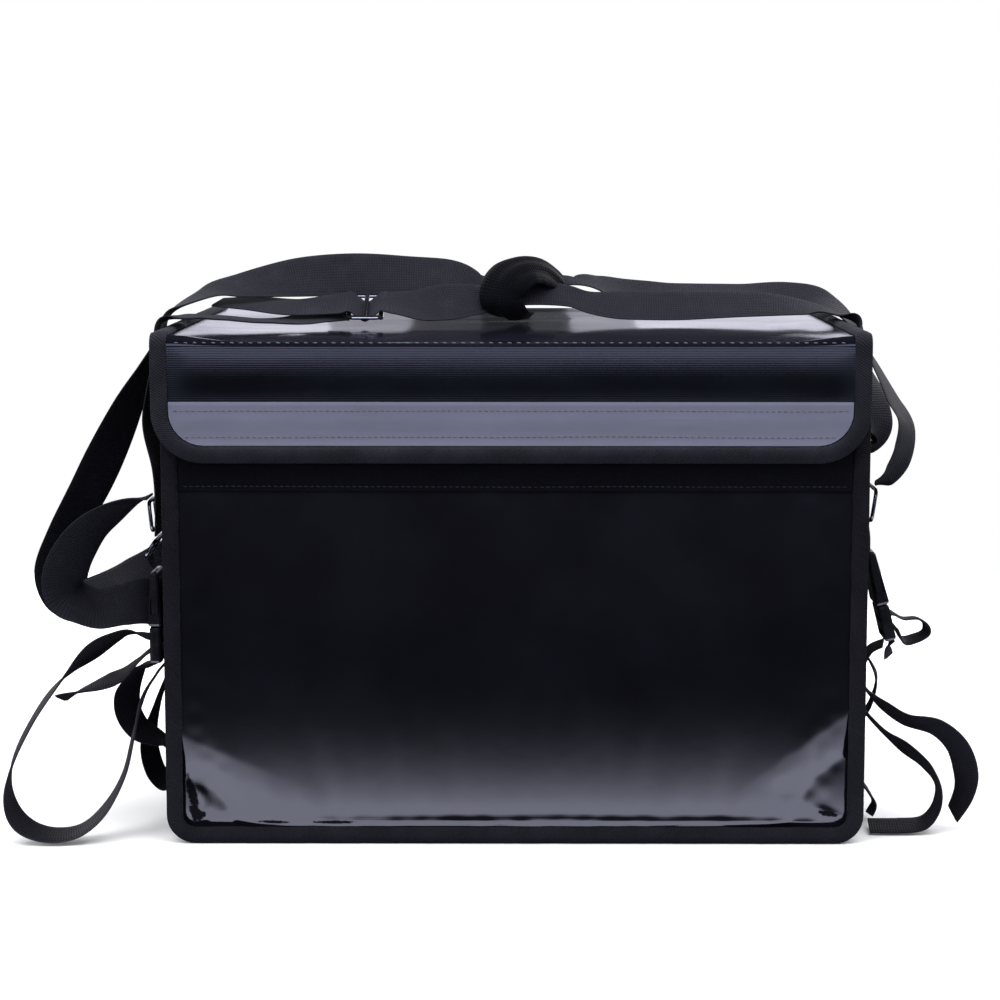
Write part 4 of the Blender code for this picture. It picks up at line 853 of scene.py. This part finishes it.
def binding(name, stations, wrap, look, replaces):
    """Tape folded over an edge, soft at its corners, its inner edge slightly wavy."""
    out = FIT + BINDING_PROUD
    soft = BINDING_PROUD * 0.75
    cover = BINDING_COVER
    corners = [(-cover, FIT), (-cover + 0.0003, out * 0.75), (-cover + 0.001, out)]
    inner = even(-cover * 0.85, -soft, 8)
    corners += [(x, out + 0.0012 * math.sin((x + cover) / cover * math.pi)) for x in inner]
    corners += [(out - soft * (1 - math.sin(t)), out - soft * (1 - math.cos(t))) for t in even(0.3, 1.3, 3)]
    corners += [(out, -x) for x in even(0.0, wrap * 0.9, 4)]
    corners += [(out * 0.75, -wrap), (FIT, -wrap), (FIT, FIT)]
    rings = []
    for station in stations:
        point, edge, face = map(Vector, station)
        wave = 0.0004 * noise.noise(point * 60) + 0.0002 * noise.noise(point * 230)
        rings.append([
            point + edge * (e + wave * max(-e / cover, 0.0)) + face * (f + wave * 0.5 * (f > FIT))
            for e, f in corners
        ])
    along = lengths_along([station[0] for station in stations])
    return tube(name, rings, along, lengths_along(corners + corners[:1]), look, replaces)


def body_edge(name, side, tape):
    """The tape round one end of the body."""
    edge = edge_stations(BODY_HEIGHT - LID_STAND, 0.004)
    stations = [((x, side * HALF_DEPTH, z), (nx, 0, nz), (0, side, 0)) for (x, z), (nx, nz) in edge]
    binding(name + "_binding_tape", stations, BINDING_WRAP, tape, (name + "_binding",))


def body_seam(name, side, thread):
    """The seam that holds one end's tape."""
    out = side * (HALF_DEPTH + FIT + BINDING_PROUD)
    edge = edge_stations(BODY_HEIGHT - LID_STAND - 0.004, 0.004)
    path = [((x - nx * STITCH_INSET, out, z - nz * STITCH_INSET), (0, side, 0)) for (x, z), (nx, nz) in edge]
    stitches(name + "_binding_stitches", path, thread)


def lid_stations():
    """The lid's edge from its back left corner, round the flap, to its back right corner."""
    down = FOLD_ARC + (LID_TOP - FOLD_RADIUS) - FLAP_ROUND_TOP
    left, right = [], []
    for length in even(LID_BACK, 0.0, 60) + even(0.0, FOLD_ARC, 10)[1:] + even(FOLD_ARC, down, 10)[1:]:
        (y, z), face = lid_line(length)
        for rows, side, x in zip((left, right), (-1, 1), lid_edges(y)):
            rows.append(((x, y, z), (side, 0, 0), face))
    for rows, side in ((left, -1), (right, 1)):
        edge = rows[-1][0][0]
        for angle in even(0, 90, 16)[1:]:
            out = (side * math.cos(math.radians(angle)), 0, -math.sin(math.radians(angle)))
            x = edge - side * FLAP_RADIUS + FLAP_RADIUS * out[0]
            rows.append(((x, -FLAP_FACE, FLAP_ROUND_TOP + FLAP_RADIUS * out[2]), out, (0, -1, 0)))
    bottom = even(left[-1][0][0], right[-1][0][0], 90)[1:-1]
    low = LID_TOP - FLAP_DROP
    return left + [((x, -FLAP_FACE, low), (0, 0, -1), (0, -1, 0)) for x in bottom] + right[::-1]


class PaddedSheet:
    """How far a padded sheet sewn down round its edge swells, from a cloth filled by pressure."""

    def __init__(self, name, width, height, pitch, slack):
        self.columns, self.rows = int(width / pitch), int(height / pitch)
        self.cloth = self.depths = None
        points, sewn, faces = [], [], []
        count = self.columns + 1
        for i in range(self.rows + 1):
            for j in range(count):
                if i in (0, self.rows) or j in (0, self.columns):
                    sewn.append(len(points))
                x, y = j / self.columns * width, i / self.rows * height
                points.append((x, y, 0.0004 * ripple(x * 30, y * 30, len(name))))
        for i in range(self.rows):
            for a in range(i * count, i * count + self.columns):
                faces.append((a, a + 1, a + count + 1, a + count))
        mesh = bpy.data.meshes.new(name)
        mesh.from_pydata(points, [], faces)
        self.cloth = linked(bpy.data.objects.new(name, mesh))
        self.cloth.vertex_groups.new(name="sewn").add(sewn, 1.0, "REPLACE")
        relaxed = self.cloth.modifiers.new("relaxed", "CLOTH")
        for key, value in (
            ("quality", 5),
            ("mass", 0.3),
            ("tension_stiffness", 15),
            ("compression_stiffness", 15),
            ("bending_stiffness", 0.3),
            ("shrink_min", -slack),
            ("shrink_max", -slack),
            ("vertex_group_mass", "sewn"),
            ("use_pressure", True),
            ("uniform_pressure_force", 4.0),
        ):
            setattr(relaxed.settings, key, value)
        relaxed.settings.effector_weights.gravity = 0.0
        relaxed.collision_settings.use_collision = False
        relaxed.point_cache.frame_start = 1
        relaxed.point_cache.frame_end = RELAX_FRAMES

    def read(self):
        """Keep the relaxed heights as shares of the highest, and drop the cloth."""
        if self.cloth is None:
            return
        made = self.cloth.evaluated_get(bpy.context.evaluated_depsgraph_get())
        heights = [abs(vertex.co.z) for vertex in made.data.vertices]
        most = max(max(heights), 1e-6)
        count = self.columns + 1
        self.depths = [[h / most for h in heights[i * count : (i + 1) * count]] for i in range(self.rows + 1)]
        bpy.data.objects.remove(self.cloth, do_unlink=True)
        self.cloth = None

    def at(self, u, v):
        """The swelling at shares of the sheet's width and height, 0 at its edge and 1 at most."""
        if not (0 < u < 1 and 0 < v < 1):
            return 0.0
        if self.depths is None:
            return 16 * u * (1 - u) * v * (1 - v)
        x, y = u * self.columns, v * self.rows
        j, i = min(int(x), self.columns - 1), min(int(y), self.rows - 1)
        rows = [min(max(i + k, 0), self.rows) for k in (-1, 0, 1, 2)]
        columns = [min(max(j + k, 0), self.columns) for k in (-1, 0, 1, 2)]
        across = [smooth_between(*(self.depths[row][column] for column in columns), x - j) for row in rows]
        return smooth_between(*across, y - i)


def smooth_between(before, first, second, after, share):
    """The value between first and second on a curve that is smooth at both."""
    rise_1 = (second - before) / 2
    rise_2 = (after - first) / 2
    a = 2 * (first - second) + rise_1 + rise_2
    b = 3 * (second - first) - 2 * rise_1 - rise_2
    return ((a * share + b) * share + rise_1) * share + first


def relax(sheets):
    """Run every cloth together, then read them."""
    for moment in range(1, RELAX_FRAMES + 1):
        bpy.context.scene.frame_set(moment)
    for sheet in sheets:
        sheet.read()
    bpy.context.scene.frame_set(1)


def front_depth(x, z):
    """Creases of the front panel's glossy fabric, over its swelling."""
    low = clamp((z - PANEL_FOOT) / 0.001)
    # The lowest strip rolls out a little and then in under the binding, more on the right
    strength = ease(clamp((x + 0.19) / 0.16)) * clamp((HALF_WIDTH - 0.012 - x) / 0.03)
    patchy = clamp(0.5 + 1.6 * ripple(x * 55, 0.0, 8.2))
    strength = max(strength, 0.55 * patchy * (x > -0.175))
    wavy = 0.0012 * ripple(x * 16, 0.0, 3.1) + 0.0005 * ripple(x * 70, 0.0, 1.0)
    drop = 0.0035 * clamp((x - 0.13) / 0.06) ** 2
    crest = PANEL_FOOT + 0.0032 - drop + wavy
    above = max(min(crest + 0.0045 - z, 0.0045), 0.0)
    ridge = 0.19 * strength * above * (1 - ease(clamp((crest - z) / 0.0026)))
    # Both lower corners are pulled flat, with a sharp crease along their upper edge
    pull = 0.0
    for way, top, slope in ((-1, 0.068, 0.42), (1, 0.083, 0.72)):
        near = way * x - (HALF_WIDTH - BINDING_COVER - 0.055)
        ragged = 0.0016 * ripple(x * 110, way, 0.0) * (way > 0)
        below = top - slope * (0.055 - near) + ragged - z
        if near > -0.05 and below > -0.004:
            soft = math.sqrt(below * below + 0.0008**2) * 0.5 + below * 0.5
            pull += 0.165 * clamp((near + 0.05) / 0.085) ** 3 * soft
    dent = 0.0008 * hill(x + 0.178, 0.010) * hill(z - 0.028, 0.007)
    dent += 0.0007 * hill(x - 0.172, 0.014) * hill(z - 0.034, 0.007)
    # A short upright fold beside the left binding, and a tuck beside the right one
    bent = x + 0.1985 - 0.006 * hill(z - 0.022, 0.012)
    fold = 0.0010 * hill(bent, 0.0030) * math.exp(-(((z - 0.024) / 0.011) ** 4))
    tuck = 0.0006 * hill(x - 0.196, 0.008) * hill(z - 0.0185 + (x - 0.196) * 0.4, 0.0024)
    return ridge * low + fold + tuck - min(pull, 0.0045) - dent


def end_skin(name, side, look, sheet, head):
    """An end panel, swollen up to the height head and flat above it; the front one has its creases."""
    front = side < 0
    low = [BASE_SEAM + BOTTOM_RADIUS * (1 - math.cos(math.radians(a))) for a in even(0, 90, 16)]
    middle = 0.100
    heights = low + even(low[-1], middle, 56 if front else 24)[1:] + even(middle, BODY_HEIGHT, 44)[1:]
    inside = HALF_WIDTH - BINDING_COVER
    outer, inner, flat = [], [], []
    for z in heights:
        width = body_half_width(z)
        places = [share * width for share in even(-1.0, 1.0, 210 if front else 120)]
        row = []
        for x in places:
            share = (z - PANEL_FOOT) / (head - PANEL_FOOT)
            swell = FRONT_BULGE * sheet.at((x + inside) / (2 * inside), share)
            if front:
                swell += front_depth(x, z)
            row.append(Vector((x, side * (HALF_DEPTH + swell), z)))
        outer.append(row)
        inner.append([Vector((x, side * (HALF_DEPTH - WALL), z)) for x in places])
        flat.append([(x, z) for x in places])
    return quilt(name + "_panel_skin", outer, inner, flat, look, (name + "_panel",))


def side_skin(name, look, replaces, sheet):
    """The strip that makes both sides and the base."""
    end = HALF_DEPTH - WALL - FIT
    inside = HALF_DEPTH - BINDING_COVER
    depths = even(-end, end, 84)
    outer, inner, flat = [], [], []
    stations = edge_stations(BODY_HEIGHT, 0.0045)
    lengths = lengths_along([station[0] for station in stations])
    for ((x, z), (nx, nz)), length in zip(stations, lengths):
        share = max(-nz, 0.0)
        swell = share * BASE_SEAM * 0.9 + (1 - share) * SIDE_BULGE
        top = clamp((BODY_HEIGHT - z) / 0.02) if nz == 0 else 1.0
        row = []
        for y in depths:
            out = swell * sheet.at(length / lengths[-1] * 0.9 + 0.05, (y + inside) / (2 * inside)) * top
            row.append(Vector((x + nx * out, y, z + nz * out)))
        outer.append(row)
        inner.append([Vector((x - nx * WALL, y, z - nz * WALL)) for y in depths])
        flat.append([(length, y) for y in depths])
    return quilt(name, outer, inner, flat, look, replaces)


def lid_skin(name, lengths, edges_of, look, replaces, depth_of):
    """A padded sheet on the lid between lengths along its profile."""
    grids = ([], [], [])
    for length in lengths:
        (y, z), (_, out, up) = lid_line(length)
        places = even(*edges_of(y, z), 110)
        lifts = [depth_of(x, length) for x in places]
        grids[0].append([Vector((x, y + out * lift, z + up * lift)) for x, lift in zip(places, lifts)])
        grids[1].append([Vector((x, y - out * LID_THICK, z - up * LID_THICK)) for x in places])
        grids[2].append([(x, length) for x in places])
    return quilt(name, *grids, look, replaces)


def lid_lift(x, length):
    """How far the lid's top stands out: it sags, rolls down towards the fold and has soft wrinkles."""
    edge = rise(HALF_WIDTH - abs(x))
    inside = clamp((length - LID_BACK) / 0.03)
    line = 0.078 + 0.012 * ripple(x * 9, 0.0, 5.5)
    near = clamp((length + line) / line)
    dip = hill(x + 0.020, 0.068) + hill(HALF_WIDTH - abs(x), 0.022) * (1.3 if x < 0 else 0.6)
    far = clamp((length + 0.24) / 0.24)
    roll = 0.0038 * near * near + 0.0035 * dip * far * far
    if length > 0:
        roll *= max(1 - length / FOLD_ARC, 0.0)
    folds = ripple(x * 5, length * 11, 0.3) + 0.35 * ripple(x * 12, length * 26, 7.7)
    return -(roll + 0.0008 + 0.0014 * folds * clamp(-length / 0.05)) * edge * inside


def flap_lift(x, length):
    """The flap bulges from its seam and lies flat behind the strip lower down."""
    below = length - flap_length(LID_TOP - SEAM_DROP - FIT)
    edge = clamp((HALF_WIDTH - BINDING_COVER - abs(x)) / 0.012)
    fade = ease(clamp((0.034 - below) / 0.024))
    waves = 0.00022 * ripple(x * 14, length * 30, 1.9)
    bulge = 0.0013 * (1 - math.exp(-below / 0.0052))
    return (bulge + waves) * fade * (0.35 + 0.65 * edge) - 0.0005


def flap_edges(inset):
    """The flap's left and right edges by height, round at its lower corners."""
    left, right = lid_edges(-FLAP_FACE)

    def edges(y, z):
        cut = 0.0
        if z < FLAP_ROUND_TOP:
            radius = FLAP_RADIUS - inset
            cut = radius - math.sqrt(max(radius**2 - min(FLAP_ROUND_TOP - z, radius) ** 2, 0.0))
        return left + inset + cut, right - inset - cut

    return edges


def flap_length(z):
    """The length along the lid's profile of a height on the flap."""
    return FOLD_ARC + (LID_TOP - FOLD_RADIUS) - z


def flap_lengths(low, high, step):
    """Lengths from high to low on the flap, close together where its corners are round."""
    top = low + FLAP_RADIUS
    heights = [low + FLAP_RADIUS * (1 - math.cos(math.radians(a))) for a in even(0, 90, 12)]
    heights = [z for z in heights if low <= z < top] + even(top, high, int((high - top) / step))
    return [flap_length(z) for z in sorted(heights, reverse=True)]


def flat_film(name, rows, thick, look, replaces=(), puff=0.0):
    """A thin sheet standing on the front: rows of (height, left, right, depth), puffed between its seams."""
    first, last = rows[0][0], rows[-1][0]
    grids = ([], [], [])
    for z, left, right, y in rows:
        places = even(left, right, 100)
        full = puff * math.sin(clamp(((z - first) / (last - first) - 0.2) / 0.6) * math.pi)
        puffs = [full * (1 + 0.6 * ripple(x * 16, z * 40, 0)) for x in places]
        grids[0].append([Vector((x, y - thick - out, z)) for x, out in zip(places, puffs)])
        grids[1].append([Vector((x, y, z)) for x in places])
        grids[2].append([(x, z) for x in places])
    return quilt(name, *grids, look, replaces)


def round_bar(name, path, radius, look, replaces=(), closed=True, flat=1.0, up=(0, 0, 1), sides=12):
    """A wire of round or oval section along a path."""
    path = [Vector(place) for place in path]
    total = len(path)
    turns = [(math.cos(t) * radius, math.sin(t) * radius) for t in even(0, 2 * math.pi, sides)[:-1]]
    rings, along = [], [0.0]
    for i, place in enumerate(path):
        if closed:
            ahead = path[(i + 1) % total] - path[i - 1]
        else:
            ahead = path[min(i + 1, total - 1)] - path[max(i - 1, 0)]
        ahead.normalize()
        above = Vector(up)
        above = (above - ahead * above.dot(ahead)).normalized()
        side = ahead.cross(above)
        rings.append([place + side * out + above * lift * flat for out, lift in turns])
        along.append(along[-1] + 0.001)
    return tube(name, rings, along, [radius * k for k in range(sides + 1)], look, replaces, closed)


def rounded_outline(width, length, corner, fine=6):
    """Places round a rectangle with round corners, about its middle."""
    made = []
    for way_x, way_y, start in ((1, 1, 0), (-1, 1, 90), (-1, -1, 180), (1, -1, 270)):
        for turn in (math.radians(angle) for angle in even(start, start + 90, fine)):
            x = way_x * (width / 2 - corner) + corner * math.cos(turn)
            made.append((x, way_y * (length / 2 - corner) + corner * math.sin(turn)))
    return made


def ring(name, low, length, width, lean, look, node):
    """A wire ring hanging from tape, its lowest place and its lean from the wall in degrees given."""
    lean = math.radians(lean)
    along = Vector((-math.sin(lean), 0, -math.cos(lean)))
    middle = Vector(low) - along * length / 2
    path = [middle + Vector((0, x, 0)) + along * y for x, y in rounded_outline(width, length, RING_CORNER)]
    round_bar(name, path, WIRE / 2, look, (node,))


def slider_frame(look):
    """The cast slider: rounded bars round two slots, leaning back with the strap that it carries."""
    turned = Euler((math.radians(SLIDER_LEAN_BACK), 0, 0)).to_matrix()
    middle = Vector(on_lid(0, *SLIDER_PLACE))
    long, wide = SLIDER_LENGTH - SLIDER_RIM, SLIDER_WIDTH - SLIDER_RIM
    up = turned @ Vector((0, 0, 1))

    def bar(name, places, thick, replaces, closed):
        path = [middle + turned @ Vector((x, y, 0.0)) for x, y in places]
        round_bar(f"top_slider_{name}", path, thick, look, replaces, closed, flat=0.92, up=up, sides=14)

    radius = SLIDER_RIM / 2
    bar("frame", rounded_outline(long, wide, 0.0035, fine=7), radius, ("top_slider",), True)
    for name, x, thick in (("left", -long / 2, 1.12), ("middle", 0.0, 1.0), ("right", long / 2, 1.12)):
        bar(name + "_bar", [(x, y) for y in even(-wide / 2, wide / 2, 12)], radius * thick, (), False)


def sheet_object(name, left, right, near, far):
    """A flat rectangle of the studio."""
    mesh = bpy.data.meshes.new(name)
    mesh.from_pydata([(left, near, 0), (right, near, 0), (right, far, 0), (left, far, 0)], [], [(0, 1, 2, 3)])
    made = linked(bpy.data.objects.new(name, mesh))
    return made


def nodes_of(owner, output):
    """A cleared node tree, its output node, and a way to add a node with its sources and values."""
    owner.use_nodes = True
    tree = owner.node_tree
    tree.nodes.clear()
    last = tree.nodes.new(output)

    def add(kind, *sources, **values):
        made = tree.nodes.new(kind)
        for source, socket in zip(sources, made.inputs):
            tree.links.new(source, socket)
        for key, value in values.items():
            made.inputs[key].default_value = (*value, 1.0) if isinstance(value, tuple) else value
        return made

    return tree, last, add


def glow(name, size, place, colour, strength, turn=UPRIGHT_GLOW):
    """A lit panel that only reflections see, with its node tree for changes."""
    made = sheet_object(name, -size[0] / 2, size[0] / 2, -size[1] / 2, size[1] / 2)
    made.location = place
    made.rotation_euler = turn
    look = bpy.data.materials.new(name)
    tree, last, add = nodes_of(look, "ShaderNodeOutputMaterial")
    light = add("ShaderNodeEmission", Color=colour, Strength=strength)
    tree.links.new(light.outputs[0], last.inputs[0])
    made.data.materials.append(look)
    made.visible_camera = made.visible_diffuse = made.visible_shadow = False
    return made, tree, light, add


def table_glow():
    """The lit table in front of the bag, brightest at the bag's foot."""
    place, colour = (0, -0.155 - 0.45, -0.001), (0.87, 0.88, 1.14)
    _, tree, light, add = glow("table_glow", (3.0, 0.9), place, colour, 2.0, (0, 0, 0))
    place = add("ShaderNodeTexCoord").outputs["Object"]
    value = add("ShaderNodeSeparateXYZ", place).outputs[1]
    for operation, second in (
        ("SUBTRACT", 0.45 - GLOW_NEAR),
        ("DIVIDE", GLOW_FADE),
        ("EXPONENT", 0.0),
        ("MULTIPLY", GLOW_BRIGHT),
        ("MINIMUM", GLOW_MOST),
    ):
        step = add("ShaderNodeMath", value)
        step.operation = operation
        step.inputs[1].default_value = second
        value = step.outputs[0]
    tree.links.new(value, light.inputs["Strength"])


def softbox(name, place, height, size, power, glossy):
    """A square lamp aimed at a height on the bag's axis."""
    data = bpy.data.lights.new(name, "AREA")
    data.shape = "RECTANGLE"
    data.size = data.size_y = size
    data.energy = power
    made = linked(bpy.data.objects.new(name, data))
    made.location = place
    made.rotation_euler = (Vector((0, 0, height)) - Vector(place)).to_track_quat("-Z", "Y").to_euler()
    made.visible_glossy = glossy


def studio():
    """The camera, the pale floor, what the bag reflects, and soft light."""
    scene = bpy.context.scene
    data = bpy.data.cameras.new("camera")
    data.lens = CAMERA_LENS
    data.sensor_width = 36.0
    scene.camera = linked(bpy.data.objects.new("camera", data))
    scene.camera.location = CAMERA_PLACE
    scene.camera.rotation_euler = CAMERA_TURN
    scene.view_settings.view_transform = "Standard"

    floor = sheet_object("floor", -1.3, 1.3, -1.2, 0.9)
    look = Look("pale_floor", "floor", (0.93, 0.93, 0.93), 0.6, Specular_IOR_Level=0.1)
    look.set(Emission_Color=(1.0, 1.0, 1.0), Emission_Strength=0.02)
    floor.data.materials.append(look.material)
    floor.visible_glossy = floor.visible_diffuse = False

    table_glow()
    for name, values in GLOWS.items():
        glow(name, *values)
    shade = glow("under_shade", (5.2, 5.2), (0, 0, -0.004), DAYLIGHT, 0.09, (0, 0, 0))[0]
    shade.visible_diffuse = True
    shade.visible_glossy = False

    scene.world = bpy.data.worlds.new("studio")
    tree, last, add = nodes_of(scene.world, "ShaderNodeOutputWorld")
    plain = add("ShaderNodeBackground", Color=DAYLIGHT, Strength=0.35).outputs[0]
    dark = add("ShaderNodeBackground", Color=DAYLIGHT, Strength=0.03).outputs[0]
    white = add("ShaderNodeBackground", Color=(1.0, 1.0, 1.0), Strength=1.0).outputs[0]
    rays = add("ShaderNodeLightPath").outputs
    seen = add("ShaderNodeMixShader", rays["Is Glossy Ray"], plain, dark).outputs[0]
    seen = add("ShaderNodeMixShader", rays["Is Camera Ray"], seen, white).outputs[0]
    tree.links.new(seen, last.inputs[0])
    for name, values in SOFTBOXES.items():
        softbox(name, *values)


def body(half, black_thread):
    """The padded body with its bindings, and the cloth band of the given half width across its front."""
    coated = coated_look("coated_front", "coated_fabric", (0.0052, 0.0051, 0.0084), 0.07, 0.000003)
    shaded_creases(coated)
    side_coat = coated_look("coated_side", "coated_fabric", (0.0030, 0.0029, 0.0046), 0.16, 0.000006, 0.0004)
    cloth = cloth_look("matte_fabric", "matte_fabric", (0.0026, 0.0026, 0.0038))
    back_cloth = cloth_look("back_fabric", "matte_fabric", (0.0085, 0.0085, 0.0120))
    tape = tape_look("binding_tape", (0.0064, 0.0062, 0.0084))

    front_sheet = PaddedSheet("front_relaxed", BODY_WIDTH, CLOSURE_FOOT - PANEL_FOOT, 0.008, 0.002)
    back_sheet = PaddedSheet("back_relaxed", BODY_WIDTH, BODY_HEIGHT - PANEL_FOOT, 0.0065, 0.020)
    side_sheet = PaddedSheet("side_relaxed", 2 * BODY_HEIGHT + BODY_WIDTH, BODY_DEPTH, 0.0085, 0.020)
    relax((front_sheet, back_sheet, side_sheet))
    front = end_skin("front", -1, coated, front_sheet, CLOSURE_FOOT)
    back = end_skin("back", 1, back_cloth, back_sheet, BODY_HEIGHT)
    sides = side_skin("side_base_skin", side_coat, ("side_base_gusset",), side_sheet)
    ends = (("front", -1), ("back", 1))
    for name, side in ends:
        body_edge(name, side, tape)
    for name, side in ends:
        body_seam(name, side, black_thread)

    heights = even(CLOSURE_FOOT, CLOSURE_FOOT + CLOSURE_HEIGHT, 16)
    rows = [(z, -half, half, -HALF_DEPTH - FIT) for z in heights]
    band = flat_film("closure_band_cloth", rows, CLOSURE_THICK, cloth, ("closure_band",))
    return front, back, sides, band


def lid(black_thread):
    """The lid's top and flap, with the reflective strip, the binding and their seams."""
    top_coat = coated_look("coated_top", "coated_fabric", (0.0045, 0.0045, 0.008), 0.11, 0.000001)
    colour = (0.0015, 0.0018, 0.0036)
    ripstop = coated_look("ripstop_fabric", "ripstop_fabric", colour, 0.18, 0.000035, 0.0002)
    silver = reflective_look("reflective_tape", (0.185, 0.188, 0.245))
    # The lid's binding is the body's tape painted about twice as bright: painted light.
    lid_tape_painted_lighter = tape_look("lid_binding_tape", (0.0140, 0.0136, 0.0190))
    pale_thread = thread_look("pale_thread", "ripstop_fabric", (0.115, 0.130, 0.180))
    grey_thread = thread_look("grey_thread", "reflective_tape", (0.16, 0.16, 0.20))

    seam = FOLD_ARC + SEAM_DROP - FOLD_RADIUS
    lengths = even(LID_BACK, 0.0, 90) + even(0.0, FOLD_ARC, 10)[1:] + even(FOLD_ARC, seam, 2)[1:]
    top = lid_skin("lid_top_skin", lengths, lambda y, z: lid_edges(y), top_coat, ("lid_top",), lid_lift)
    lengths = flap_lengths(LID_TOP - FLAP_DROP, LID_TOP - SEAM_DROP - FIT, 0.0022)
    flap = lid_skin("lid_flap_skin", lengths, flap_edges(0.0), ripstop, ("lid_flap",), flap_lift)

    low = LID_TOP - FLAP_DROP + BINDING_COVER + 2 * FIT
    edges = flap_edges(BINDING_COVER + 2 * FIT)
    turn = FLAP_RADIUS - BINDING_COVER
    heights = [low + turn * (1 - math.cos(math.radians(angle))) for angle in even(0, 90, 8)]
    heights += even(heights[-1], low + STRIP_HEIGHT, 12)[1:]
    rows = [(z, *edges(0, z), -FLAP_FACE - FIT) for z in heights]
    flat_film("reflective_strip_tape", rows, STRIP_THICK, silver, ("reflective_strip",), puff=0.00025)
    stations = lid_stations()
    binding("lid_binding_tape", stations, LID_THICK, lid_tape_painted_lighter, ("lid_binding",))
    out = FIT + BINDING_PROUD
    path = []
    for at, edge, face in stations:
        path.append((Vector(at) - Vector(edge) * STITCH_INSET + Vector(face) * out, face))
    stitches("lid_binding_stitches", path, black_thread)

    inside = BINDING_COVER + 0.002
    left, right = lid_edges(-FLAP_FACE)
    (y, z), face = lid_line(seam - 0.0022)
    path = [((x, y - 0.0001, z), face) for x in even(left + inside, right - inside, 120)]
    stitches("flap_seam_stitches", path, pale_thread, pitch=0.0056, length=0.0024, thick=0.00042)
    face = -FLAP_FACE - FIT - STRIP_THICK
    for name, share in (("lower", 0.20), ("upper", 0.80)):
        z = low + STRIP_HEIGHT * share
        front_seam(f"strip_{name}_stitches", *edges(0, z), face, z, (0.0008, 9, share * 5), grey_thread)
    return top, flap


def front_seam(name, left, right, y, z, drift, thread):
    """A seam across the front that wanders up and down: drift is how far, how often and from where."""
    high, often, start = drift
    places = even(left + 0.001, right - 0.001, 120)
    stitches(name, [((x, y, z + high * ripple(x * often, start, 0.0)), (0, -1, 0)) for x in places], thread)


def webbing_and_fittings():
    """Every strap, the knot, the wire rings, the slider, and the buckles' plastic."""
    wide = webbing_look("wide_webbing", (0.0105, 0.0102, 0.0150), STRAP_WIDTH)
    # The knot's turn is the straps' webbing painted darker: painted shade.
    knot_web_painted_shade = webbing_look("knot_webbing", (0.0020, 0.0020, 0.0030), KNOT_WIDTH)
    narrow = webbing_look("narrow_webbing", (0.0065, 0.0063, 0.0088), NARROW_WIDTH)
    plastic = hard_look("moulded_plastic", (0.006, 0.006, 0.008), 0.22, 0.0, 0.2)
    steel = hard_look("black_steel", (0.12, 0.12, 0.13), 0.22, 1.0, 0.5)
    bright = hard_look("bright_metal", (0.62, 0.62, 0.64), 0.12, 1.0, 0.4)

    knotted = placed(KNOTTED_STRAP_LEFT) + slider_rows(OVER_AND_UNDER) + placed(KNOTTED_STRAP_RIGHT)
    strap("shoulder_strap", placed(SHOULDER_STRAP), STRAP_WIDTH, wide, gather=True)
    strap("knotted_strap", knotted, STRAP_WIDTH, wide, gather=True)
    turn = [((x, KNOT_BEHIND + deep, LID_TOP + up), way) for x, deep, up, *way in KNOT_TURN]

    def widths(share):
        return 0.70 + 0.52 * math.sin(math.pi * clamp(share * 1.05)) ** 1.5

    strap("strap_knot", turn, KNOT_WIDTH, knot_web_painted_shade, False, 8, 30, 0.30, widths, 0.0005)
    strap("hook_strap", placed(HOOK_STRAP), STRAP_WIDTH, wide)
    strap("adjuster_strap", placed(ADJUSTER_STRAP) + slider_rows(UNDER_FIRST_BAR), STRAP_WIDTH, wide)
    for name, rows in NARROW_STRAPS.items():
        strap(name, placed(rows), NARROW_WIDTH, narrow, columns=8)

    low = below_buckle(-1, 0.145, HARDWARE_LINE, -0.181)
    ring("left_ring_wire", low, 0.0114, RING_WIDTH, 33.0, steel, "left_ring")
    low = below_buckle(-1, 0.106, HARDWARE_LINE, -0.444)
    ring("left_link_wire", low, 0.0181, LINK_WIDTH, -5.7, steel, "left_hook_link")
    low = below_buckle(1, 0.123, RING_LINE, -0.284)
    ring("right_ring_wire", low, 0.0195, RING_WIDTH, 8.3, steel, "right_ring")
    slider_frame(bright)
    for side in ("left", "right"):
        for part in ("socket", "plug"):
            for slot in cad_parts[f"{side}_buckle_{part}"].material_slots:
                slot.material = plastic.material


def main():
    studio()
    black_thread = thread_look("black_thread", "binding_tape", (0.0045, 0.0045, 0.0065))
    half = HALF_WIDTH - BINDING_COVER - FIT
    front, back, sides, band = body(half, black_thread)
    top, flap = lid(black_thread)
    face = -HALF_DEPTH - FIT - CLOSURE_THICK
    drift = (0.0006, 12, 4.4)
    front_seam("closure_band_stitches", -half, half, face, CLOSURE_FOOT + 0.003, drift, black_thread)
    webbing_and_fittings()


main()
